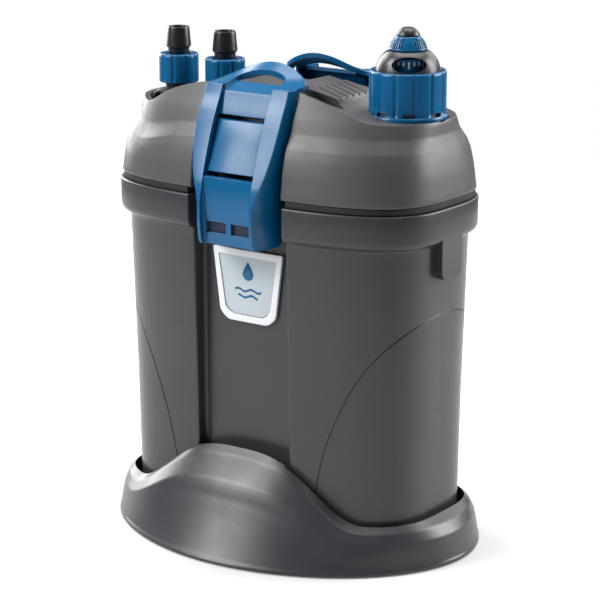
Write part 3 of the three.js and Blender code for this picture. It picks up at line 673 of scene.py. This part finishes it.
boolean(head, lathe("neck", neck, 89.6, 0, 72), "UNION")
boolean(head, lathe("bore_a", [(0, 292.2), (21.8, 292.2), (21.8, 333), (0, 333)], 89.6, 0, 72))
boolean(head, lathe("bore_b", [(0, 270), (11.5, 270), (11.5, 300), (0, 300)], 89.6, 0, 48))
for x in (-101.2, -60.5):
    boolean(head, lathe("duct", [(0, 270), (9.4, 270), (9.4, 300), (0, 300)], x, 0, 40))
boolean(head, turn_y(lathe("mains", [(0, 40), (5.2, 40), (5.2, 90), (0, 90)], 0, 0, 32), -72, 262))
clean(head)
piece(head, "filter", "head", "head_plastic", "head_cover", sharp=32)
for i, (x, y) in enumerate([(-80, -34), (-80, 34), (74, -34), (74, 34)]):
    o = lathe(f"head_boss_{i + 1}", [(2.3, 246), (4.6, 246), (5, 246.4), (5, 281.4), (2.3, 281.4)], x, y, 32)
    piece(o, "filter", "head", "head_plastic")

# ------------------------------------------------------------------ latches
LAT = [[211.8, 22.7, 28, 77.8, 57], [215, 22.7, 28.4, 79.4, 54.4], [227, 22.7, 28.4, 80.6, 54], [240, 22.9, 28.6, 80.4, 54], [247, 24.8, 29.2, 79.2, 54],
       [253, 27.2, 30.2, 78, 50], [262, 30.2, 31.6, 75.4, 49], [274, 32.6, 33.6, 71.6, 48.6], [282, 33.4, 34.2, 68.8, 48.6], [290, 34, 34.6, 65.8, 48.6], [300, 34, 34.6, 61.4, 48], [308, 34, 34.4, 57.3, 46.6], [315, 33.8, 34.2, 54.4, 46]]


def lat(z, w=2.0):
    L = np.array(LAT)
    return [float(np.mean([np.interp(z + s, L[:, 0], L[:, c]) for s in np.linspace(-w, w, 9)])) for c in range(1, 5)]


def clip(name):
    zs = [211.8, 212.1, 212.7, 213.6] + list(np.arange(215, 315, 1.6)) + [315]
    outer, inner = [], []
    for z in zs:
        wf, wb, f, b = lat(z, 2.0 if z < 311 else 0.2)
        e = 0.5 * max(0, 1 - (z - 211.8) / 1.2) ** 2
        k = min(f - b - 1, 3 + (wb - wf) * 2.2)
        P = [(wb - e, -b), (-(wb - e), -b), (-(wb - e), -(f - k)), (-(wf - e), -(f - e)), (wf - e, -(f - e)), (wb - e, -(f - k))]
        P = P[::-1]
        outer.append(at(rpoly(P, [2.0, 0.9, 0.9, 2.0, 0.7, 0.7], 4), z))
    for i, z in enumerate(zs[::3]):
        wf, wb, f, b = lat(z, 2.0 if z < 311 else 0.2)
        k = min(f - b - 1, 3 + (wb - wf) * 2.2)
        t = float(np.interp(z, [244, 256, 262, 300], [f - 71.8, f - 71.6, 4.4, 3.4]))
        zz = z - 2 if i == 0 else z
        inner.append(at([(wb - 3, -b + 8), (-(wb - 3), -b + 8), (-(wb - 3), -(f - max(k, t))), (-(wf - 2), -(f - t)), (wf - 2, -(f - t)), (wb - 3, -(f - max(k, t)))][::-1], zz))
    inner.append([(x, y, 318.0) for x, y, _ in inner[-1]])
    s = loft(name, [r[::-1] for r in outer])
    inner = [r[::-1] for r in inner]
    if len(inner[0]) and inner[0][0][2] < inner[-1][0][2]:
        pass
    boolean(s, loft("void", inner))
    boolean(s, swap(prism("window", [(x, -z) for x, z in rpoly([(-20.4, -295.8), (20.4, -295.8), (20.4, -257), (-20.4, -257)], 0.8, 2)], 40, 90, 0), "y") if False else box("window", -20.4, 20.4, -92, -40, 257, 295.8))
    deep = [(206, 74.9), (212, 75.2), (218, 75.6), (226, 76.1), (234, 76.5), (242, 76.7), (248, 76.8), (253, 76.6), (258, 75.9)]
    boolean(s, loft("panel", [[(x, y, z) for x, y in rpoly([(-20.2, -92), (20.2, -92), (20.2, -q), (-20.2, -q)], [0, 0, 0.9, 0.9], 3)] for z, q in deep]))
    for a, b in ((-18.6, -2), (2, 18.6)):
        boolean(s, box("slot", a, b, -92, -73.9, 219.6, 227.2))
    boolean(s, swap(prism("upper", [(-92, 295), (-58, 295), (-53, 311.5), (-40, 319), (-92, 319)], -20.4, 20.4, 0), "x"))
    bar = swap(prism("bar", rpoly([(-58.6, 295.9), (-55.2, 295.9), (-50.6, 309.6), (-40.6, 313), (-40.6, 315.9), (-53.6, 311.2)], [0.5, 0, 0, 0, 0.8, 0.9], 3), -21, 21, 0), "x")
    boolean(s, bar, "UNION")
    # tongue
    n = 30
    arc = [(33.8 * math.cos(math.pi * i / n), -40 + 16 * max(0, math.sin(math.pi * i / n)) ** 0.75) for i in range(n + 1)]
    plan = [(-33.8, -54.2)] + [(x, -54.2) for x in np.linspace(-28, 28, 15)] + [(33.8, -54.2)] + [(33.8, y) for y in (-50, -45)] + arc + [(-33.8, y) for y in (-45, -50)]

    def lift(p, low, d=0.0):
        x, y = p
        u = min(1, max(0, (y + 54) / 30)) ** 1.6
        return (x, y, (311.8 if low else 315.4) + 3.4 * u + 9.4 * u * (1 - (x / 33.8) ** 2) + d)

    # a grid keeps the raised surface smooth: rings shrink from the rim towards the middle line
    def rings_of(low):
        c = (0.0, -46.0)
        out = []
        for q in (1.0, 0.985, 0.96, 0.9, 0.8, 0.7, 0.6, 0.5, 0.4, 0.3, 0.2):
            out.append([lift((c[0] + (x - c[0]) * q, c[1] + (y - c[1]) * q), low, (0.0 if q < 0.98 else (-0.35 if q == 1.0 else -0.06)) * (1 if not low else -1)) for x, y in plan])
        return out
    lo, hi = rings_of(True), rings_of(False)
    tongue = loft("tongue", lo[::-1] + hi)
    m = 24
    hole = [(-20.4, -70), (20.4, -70), (20.4, -44)] + [(20 * math.cos(math.pi * i / m), -42 + 10.5 * max(0, math.sin(math.pi * i / m)) ** 0.75) for i in range(m + 1)] + [(-20.4, -44)]
    boolean(tongue, prism("hole", hole, 300, 340, 0))
    boolean(s, tongue, "UNION")
    pin = swap(lathe("bore", [(0, -40), (2.5, -40), (2.5, 40), (0, 40)], 0, 0, 32), "x")
    pin.data.transform(Matrix.Translation((0, -58 * MM, 275 * MM)))
    boolean(s, pin)
    clean(s)
    return s


front = clip("latch_front")
rear = mirrored_copy(front, "latch_rear")
piece(front, "front_latch", "blue", "blue_plastic", "front_latch", sharp=34)
piece(rear, "rear_latch", "blue", "blue_plastic", "rear_latch", sharp=34)
# the back walls of the slots get a darker copy of the blue, slot_shade: painted shade in the slots
for o in (front, rear):
    o.data.materials.append(MAT["slot"])
    for f in o.data.polygons:
        c = f.center / MM
        if 71 < abs(c.y) < 74.1 and 219 < c.z < 228 and abs(f.normal.y) > 0.9:
            f.material_index = len(o.data.materials) - 1


def bracket(name):
    face = rpoly([(-60.2, 293), (-73.2, 260), (-70, 260), (-57, 293)], [0.7, 0.7, 0.2, 0.2], 3)
    o = swap(prism(name, face, -19.6, 19.6, 0.4), "x")
    for a, b in ((-19.6, -15), (15, 19.6)):
        e = swap(prism("ear", rpoly([(-58, 292.6), (-70.8, 260.2), (-46.8, 260.2), (-46.8, 284), (-50, 292.6)], [0, 0, 1, 3, 3], 3), a, b, 0), "x")
        boolean(o, e, "UNION")
    pin = swap(lathe("bore", [(0, -40), (2.5, -40), (2.5, 40), (0, 40)], 0, 0, 32), "x")
    pin.data.transform(Matrix.Translation((0, -58 * MM, 275 * MM)))
    boolean(o, pin)
    clean(o)
    return o


fb = bracket("bracket_front")
rb = mirrored_copy(fb, "bracket_rear")
piece(fb, "filter", "blue", "blue_plastic", "front_latch_bracket")
piece(rb, "filter", "blue", "blue_plastic", "rear_latch_bracket")

# ------------------------------------------------------------------ badge
BADGE = [(-16.6, 155.6), (16.6, 155.6), (23.2, 161), (29, 205.4), (-29, 205.4), (-23.2, 161)]


def badge(name, g, y0, y1, ch):
    P = [(-16.6 + g * 0.9, 155.6 + g), (16.6 - g * 0.9, 155.6 + g), (23.2 - g, 161 + g * 0.7), (29 - g, 205.4 - g), (-29 + g, 205.4 - g), (-23.2 + g, 161 + g * 0.7)]
    return swap(prism(name, rpoly(P, [3, 3, 3, 1.2, 1.2, 3], 5), -y1, -y0, ch), "y")


bf = badge("badge_rim", 0, -55.6, -53.3, 0.5)
boolean(bf, badge("inner", 4.6, -60, -50, 0))
clean(bf)
piece(bf, "filter", "white", "badge_white", "badge_frame")
bp = badge("badge_face", 4.9, -54.9, -53.3, 0.15)
piece(bp, "filter", "silver", "badge_silver", "badge_plate")


def flat_motif(name, outline, y0=-55.05, y1=-54.8):
    o = swap(prism(name, outline, -y1, -y0, 0.08), "y")
    return piece(o, "filter", "blue", "blue_plastic")


drop = []
for i in range(33):
    t = i / 32 * 2 * math.pi
    r = 4.6
    x = r * math.cos(t - math.pi / 2); z = r * math.sin(t - math.pi / 2)
    if z > 0:
        x *= (1 - z / r * 0.85) ** 0.7; z *= 1.75
    drop.append((x, 189.0 + z))
flat_motif("badge_drop", drop[:-1])
for k, (z0, w) in enumerate(((177.6, 11.0), (173.4, 8.2))):
    up = [(x, z0 + 0.85 * math.sin(x / 11.0 * 2 * math.pi) + 0.75) for x in np.linspace(w, -w, 36)]
    dn = [(x, z0 + 0.85 * math.sin(x / 11.0 * 2 * math.pi) - 0.75) for x in np.linspace(-w, w, 36)]
    flat_motif(f"badge_wave_{k + 1}", dn + up)

# ------------------------------------------------------------------ heater head
HX = 89.6


def flute(r0, n, depth, width, phase=0.0, zlo=-1e9, zhi=1e9, fade=1.0):
    """Straight grooves of that width as a fraction of the pitch, with rounded lips; faded out above and below."""
    def f(r, z, t):
        if abs(r - r0) > 0.7:
            return r
        u = ((t + phase) * n / (2 * math.pi)) % 1.0
        d = abs(u - 0.5) * 2
        g = 0.0 if d > width else 0.5 * (1 + math.cos(math.pi * d / width))
        k = min(1, max(0, (z - zlo) / fade)) * min(1, max(0, (zhi - z) / fade))
        return r - depth * g * k
    return f


col = [(23.4, 296.7), (25.6, 296.6), (26.2, 296.8), (26.4, 297.4), (26.4, 298.6), (26.1, 299.2), (25.5, 299.7), (25.3, 300.4)]
col += [(25.3, z) for z in np.linspace(301, 326.4, 14)]
col += [(25.2, 327.0), (24.9, 327.6), (24.5, 327.9), (24.1, 328.0), (22.6, 328.0), (22.1, 327.8), (21.9, 327.4), (21.9, 325.2), (23.4, 325.2)]
collar = lathe("collar", col, HX, 0, 390, radial=flute(25.3, 13, 0.85, 0.34, phase=0.1, zlo=299.6, zhi=327.9, fade=1.4))
for k in range(8):
    a = rad(-54.1 + 45 * k)
    c = prism("notch", [(-4, 22.6), (4, 22.6), (4, 28), (-4, 28)], 299.7, 302.1, 0)
    c.data.transform(Matrix.Rotation(a - math.pi / 2, 4, "Z"))
    c.data.transform(Matrix.Translation((HX * MM, 0, 0)))
    boolean(collar, c)
clean(collar, 0.01)
piece(collar, "heater_collar", "blue", "blue_plastic", "heater_collar", sharp=34)

DOME = [(21.3, 325.2), (21.25, 327), (21.0, 329.2), (20.3, 332.0), (19.3, 334.3), (18.0, 336.3), (16.4, 338.2), (14.7, 339.7), (13.4, 340.4), (12.9, 340.6)]
pr = [(0, 292.6), (20.8, 292.6), (21.3, 293), (21.3, 318.4), (23.1, 318.4), (23.1, 324.6), (21.3, 324.6)] + DOME + [(0, 340.6)]
dome = lathe("heater_dome", pr, HX, 0, 96)
boolean(dome, lathe("dome_in", [(0, 295.5), (19.2, 295.5), (19.2, 327.6), (18.6, 331.0), (17.2, 334.0), (15.2, 336.6), (12.6, 338.6), (0, 338.6)], HX, 0, 64))
boolean(dome, lathe("stem_hole", [(0, 330), (4.6, 330), (4.6, 345), (0, 345)], HX, 0, 32))
boolean(dome, lathe("base_hole", [(0, 280), (8.8, 280), (8.8, 300), (0, 300)], HX, 0, 32))
e = [(11.2 * math.cos(2 * math.pi * i / 48), 5.0 * math.sin(2 * math.pi * i / 48)) for i in range(48)]
w = swap(prism("oval", e, 9, 35, 0), "y")
w.data.transform(Matrix.Translation((0, 0, 333 * MM)))
w.data.transform(Matrix.Rotation(rad(35.9), 4, "Z"))
w.data.transform(Matrix.Translation((HX * MM, 0, 0)))
boolean(dome, w)
clean(dome, 0.01)
piece(dome, "filter", "dome", "dome_plastic", "heater_housing", sharp=36)

dr = [(0, 325.4), (12.9, 325.4), (13.4, 325.8), (13.4, 336.0), (13.0, 336.4), (4.2, 336.4), (4.2, 344.4), (0, 344.4)]
drum = lathe("scale_drum", dr, HX, 0, 96)
piece(drum, "heater_dial", "blue", "blue_plastic", "heater_scale_drum")
for i in range(24):
    a = rad(-54.1 + 15 * i)
    tall = 4.6 if i % 3 == 0 else 2.6
    t = prism(f"scale_tick_{i + 1:02d}", [(-0.5, 13.2), (0.5, 13.2), (0.5, 13.62), (-0.5, 13.62)], 334.6 - tall, 334.6, 0.08, 1)
    t.data.transform(Matrix.Rotation(a - math.pi / 2, 4, "Z"))
    t.data.transform(Matrix.Translation((HX * MM, 0, 0)))
    piece(t, "heater_dial", "tick", "badge_white")

dl = [(12.0, 341), (12.5, 341.2), (12.6, 341.7)] + [(r, z) for r, z in zip(np.interp([342.0, 342.28, 342.32, 343, 344, 345, 346, 347, 348, 348.58, 348.62, 349.0, 349.3, 349.6], [342, 346, 349.6], [12.5, 10.9, 8.3]), [342.0, 342.28, 342.32, 343, 344, 345, 346, 347, 348, 348.58, 348.62, 349.0, 349.3, 349.6])] + [(7.6, 349.9), (7.2, 350.0)]


def dial_r(r, z, t):
    d = math.degrees((t + rad(54.1) + math.pi) % (2 * math.pi) - math.pi)
    if z < 342.3 or z > 348.6:
        return r
    if abs(d) < 17 or abs(abs(d) - 120) < 17:
        return r
    u = (math.degrees(t) / 9.0 + 0.05) % 1.0
    return r - (1.0 if 0.30 < u < 0.70 else 0.0)


dial = lathe("temperature_dial", [(0, 341)] + dl + [(0, 350)], HX, 0, 400, radial=dial_r)
boolean(dial, lathe("dh", [(0, 338), (4.5, 338), (4.5, 344.8), (3, 344.8), (3, 352), (0, 352)], HX, 0, 32))
piece(dial, "heater_dial", "blue", "blue_plastic", "heater_dial", sharp=36)
# the faces inside the dial's grooves get the same darker blue: painted shade in the grooves
dial.data.materials.append(MAT["slot"])
for p in dial.data.polygons:
    c = p.center / MM
    rr = math.hypot(c.x - HX, c.y)
    if 342.3 < c.z < 348.6 and rr < float(np.interp(c.z, [342, 346, 349.6], [12.5, 10.9, 8.3])) - 0.6:
        p.material_index = 1

gl = [(0, 296), (2.6, 296), (2.6, 350.3), (7.5, 350.2), (7.7, 350.5), (7.5, 351.3), (6.7, 352.6), (5.6, 353.8), (4.3, 354.8), (3.2, 355.3), (2.4, 355.5), (1.8, 355.4), (1.3, 354.6), (0, 354.4)]
gland = lathe("cable_gland", gl, HX, 0, 64)
piece(gland, "filter", "black", "black_plastic", "heater_gland")

# ------------------------------------------------------------------ hose connections
for tag, x in (("inlet", -101.2), ("outlet", -60.5)):
    t = [(5.6, 303.3), (9.2, 303.3), (9.4, 303.5), (9.4, 306.0), (9.2, 306.2), (7.6, 306.3), (7.3, 306.8), (7.3, 325.4), (7.5, 325.9), (8.3, 326.9), (8.6, 327.3), (8.65, 327.8), (8.62, 328.4), (8.1, 334.0), (7.62, 339.8), (7.5, 340.5), (7.2, 340.9), (6.8, 341), (6.1, 341), (5.7, 340.8), (5.6, 340.4)]
    o = lathe(f"{tag}_hose_tail", t, x, 0, 64)
    piece(o, "filter", "black", "black_plastic", f"{tag}_tail")
    p = [(9.8, 302.4), (13.1, 302.4), (13.6, 302.7), (13.8, 303.3)] + [(13.8, z) for z in np.linspace(304.0, 320.8, 10)] + [(13.7, 321.4), (13.4, 322.0), (12.9, 322.35), (12.4, 322.4), (9.6, 322.4), (9.2, 322.2), (9.1, 321.8), (9.1, 318.6), (9.8, 318.6)]
    o = lathe(f"{tag}_union_nut", p, x, 0, 300, radial=flute(13.8, 10, 0.62, 0.4, phase=0.25, zlo=302.7, zhi=322.2, fade=1.2))
    piece(o, f"{tag}_nut", "blue", "blue_plastic", f"{tag}_nut", sharp=36)

mani = prism("hose_base", rpoly([(-110.8, -7), (-107, -11.5), (-50, -11.5), (-47, -9), (-47, 9), (-50, 11.5), (-107, 11.5), (-110.8, 7)], 3, 4), 287, 297, 0.6)
for x in (-101.2, -60.5):
    boolean(mani, lathe("boss", [(0, 290), (9.4, 290), (9.4, 302.6), (9.0, 303), (0, 303)], x, 0, 48), "UNION")
for x in (-101.2, -60.5):
    boolean(mani, lathe("way", [(0, 280), (7, 280), (7, 310), (0, 310)], x, 0, 40))
clean(mani, 0.01)
piece(mani, "filter", "black", "black_plastic", "hose_manifold")

el = [(0, -17), (4.6, -18), (4.6, -28.1), (4.9, -28.4), (6.2, -28.4), (6.6, -27.9), (6.6, -26.0), (7.2, -25.6), (7.4, -25.2), (7.4, -22.8), (7.2, -22.4), (6.6, -22.0), (6.6, -16.0), (5.8, -15.0), (5.8, -11.9), (0, -11.9)]
o = turn_y(lathe("bleed_spout", el, 0, 0, 56), -96, 293.6)
piece(o, "filter", "black", "black_plastic", "hose_elbow")

# ------------------------------------------------------------------ primer pad
prof = rpoly([(13, 297.6), (60.6, 297.6), (60.6, 299), (55, 301), (50.6, 304.6), (48.6, 307.9), (13, 314.66)], [0.3, 0.3, 0.6, 1.5, 1.5, 1.0, 0.8], 4)
pad = swap(prism("priming_pad", prof, -22, 22, 0.28), "y")
for s in (-1, 1):
    y0, y1 = sorted((s * 19.2, s * 25))
    boolean(pad, box("corner", 10, 25, y0, y1, 308, 330))
boolean(pad, box("pad_void", 16.2, 46, -18.6, 18.6, 290, 302.6))
for i in range(5):
    r = prism("rib", [(-22, -0.75), (30, -0.75), (30, 0.75), (-22, 0.75)], -1.5, 2.0, 0)
    r.data.transform(Matrix.Rotation(0.188, 4, "Y"))
    r.data.transform(Matrix.Rotation(-0.26, 4, "Z"))
    r.data.transform(Matrix.Translation((48 * MM, (-17.5 + i * 7.2) * MM, (308.1 + 0.1) * MM)))
    boolean(pad, r)
boolean(pad, lathe("pad_stem", [(0, 294.4), (4.2, 294.4), (4.6, 294.8), (4.6, 303), (0, 303)], 32, 0, 32), "UNION")
clean(pad, 0.01)
piece(pad, "primer", "head", "head_plastic", "primer_pad", sharp=34)

coil = []
for i in range(217):
    t = i / 216
    a = t * 2 * math.pi * 4.5
    coil.append([(32 + (7 + 0.75 * math.cos(b)) * math.cos(a), (7 + 0.75 * math.cos(b)) * math.sin(a), 288.8 + t * 12.6 + 0.75 * math.sin(b)) for b in [2 * math.pi * k / 10 for k in range(10)]])
spring = clean(loft("pad_spring", coil), 0.001)
piece(spring, "filter", "steel", "steel", "primer_spring", sharp=60)
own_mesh(spring)

# ------------------------------------------------------------------ filter media
def rounded(x0, x1, y0, y1, r, n=8):
    return rpoly([(x0, y0), (x1, y0), (x1, y1), (x0, y1)], r, n)


def slab(name, z0, z1, mat, slot, node, crown):
    base = rounded(-73.0, 69.0, -42.0, 42.0, 12)
    rings = []
    zm = (z0 + z1) / 2
    for k in range(13):
        t = k / 12
        z = z0 + (z1 - z0) * t
        e = 2.2 * (abs(2 * t - 1) ** 6) + crown * math.cos(math.pi * (t - 0.5)) * -0.4 + 0.5
        rings.append([(x, y, z) for x, y in inset(base, max(0.0, e))])
    o = loft(name, rings)
    piece(o, "filter", mat, slot, node)
    return o


slab("coarse_foam", 19.5, 96, "foam_c", "foam_coarse", "lower_foam", 1.0)
slab("fine_foam", 105.5, 182, "foam_f", "foam_fine", "upper_foam", 1.0)
slab("fleece_sheet", 188.5, 204, "fleece", "fleece", "fleece_pad", 1.5)
o = lathe("prefilter_foam", [(9.6, 60.4), (10.2, 60), (11.6, 60), (12.3, 60.5), (12.6, 61.5), (12.5, 95), (12.6, 130), (12.5, 165), (12.6, 198.5), (12.3, 199.5), (11.6, 200), (10.2, 200), (9.6, 199.6)], -98, 0, 48)
piece(o, "filter", "foam_c", "foam_coarse", "prefilter_sleeve")

# ------------------------------------------------------------------ nodes that stay as they are
KEEP = {
    "inner": ["head_plate", "inlet_duct", "outlet_duct", "motor_block", "volute_cover", "intake_tube", "intake_strainer", "lower_basket", "upper_basket"],
    "steel": ["head_screw_1", "head_screw_2", "head_screw_3", "head_screw_4", "front_hinge_pin", "rear_hinge_pin"],
    "glass": ["heater_tube"],
    "ceramic": ["heater_element", "impeller_shaft"],
    "rubber": ["heater_seal", "shaft_bush_top", "shaft_bush_bottom", "mains_gland"],
    "magnet": ["impeller_rotor"],
}
for k, names in KEEP.items():
    for n_ in names:
        o = NODE[n_]
        if not o.material_slots:
            o.data.materials.append(MAT[k])
        for s_ in o.material_slots:
            s_.material = MAT[k]

# ------------------------------------------------------------------ stage and light
floor = loft("floor", [[(1100 * math.cos(math.pi * k / 48), 1100 * math.sin(math.pi * k / 48), z) for k in range(96)] for z in (-30, -0.05)])
m, nt, b, co = tree("floor_pale")
nt.links.new(ramp(nt, noise(nt, co, 3, 3), [(0.3, (0.5, 0.5, 0.5)), (0.7, (0.54, 0.54, 0.54))]), b.inputs["Base Color"])
b.inputs["Roughness"].default_value = 0.7
b.inputs["Specular IOR Level"].default_value = 0.2
b.inputs["Emission Color"].default_value = (1, 1, 1, 1)
b.inputs["Emission Strength"].default_value = 0.22
floor.data.materials.append(m)

world = bpy.data.worlds.new("studio")
bpy.context.scene.world = world
world.use_nodes = True
wt = world.node_tree
wt.nodes.clear()
wo = wt.nodes.new("ShaderNodeOutputWorld")
bg = wt.nodes.new("ShaderNodeBackground")
bg.inputs["Color"].default_value = (1, 1, 1, 1)
bg.inputs["Strength"].default_value = 0.17
white = wt.nodes.new("ShaderNodeBackground")
white.inputs["Color"].default_value = (1, 1, 1, 1)
white.inputs["Strength"].default_value = 1.0
lp = wt.nodes.new("ShaderNodeLightPath")
mixw = wt.nodes.new("ShaderNodeMixShader")
wt.links.new(lp.outputs["Is Camera Ray"], mixw.inputs[0])
wt.links.new(bg.outputs[0], mixw.inputs[1])
wt.links.new(white.outputs[0], mixw.inputs[2])
wt.links.new(mixw.outputs[0], wo.inputs[0])
bpy.context.scene.view_settings.view_transform = "Standard"


def area(name, loc, at_, w, h, power, color=(1, 1, 1)):
    d = bpy.data.lights.new(name, "AREA")
    d.shape = "RECTANGLE"
    d.size, d.size_y, d.energy, d.color = w, h, power, color
    o = bpy.data.objects.new(name, d)
    bpy.context.scene.collection.objects.link(o)
    o.location = loc
    look(o, at_)
    return o


area("key_left", (-1.2, -1.35, 1.75), (0, 0, 0.2), 1.1, 1.0, 46)
area("front_low", (-1.2, -1.9, 0.98), (0, 0, 0.25), 0.9, 0.6, 17)
area("rim_right", (1.4, 1.35, 1.0), (0, 0, 0.2), 1.0, 1.4, 48)
area("top", (-0.1, 0.35, 2.0), (0, 0, 0.2), 1.8, 1.4, 38)
area("side_left", (-1.8, 0.55, 0.85), (0, 0, 0.2), 1.1, 1.5, 40)
area("back", (0.2, 2.0, 1.2), (0, 0, 0.2), 1.6, 1.2, 14)
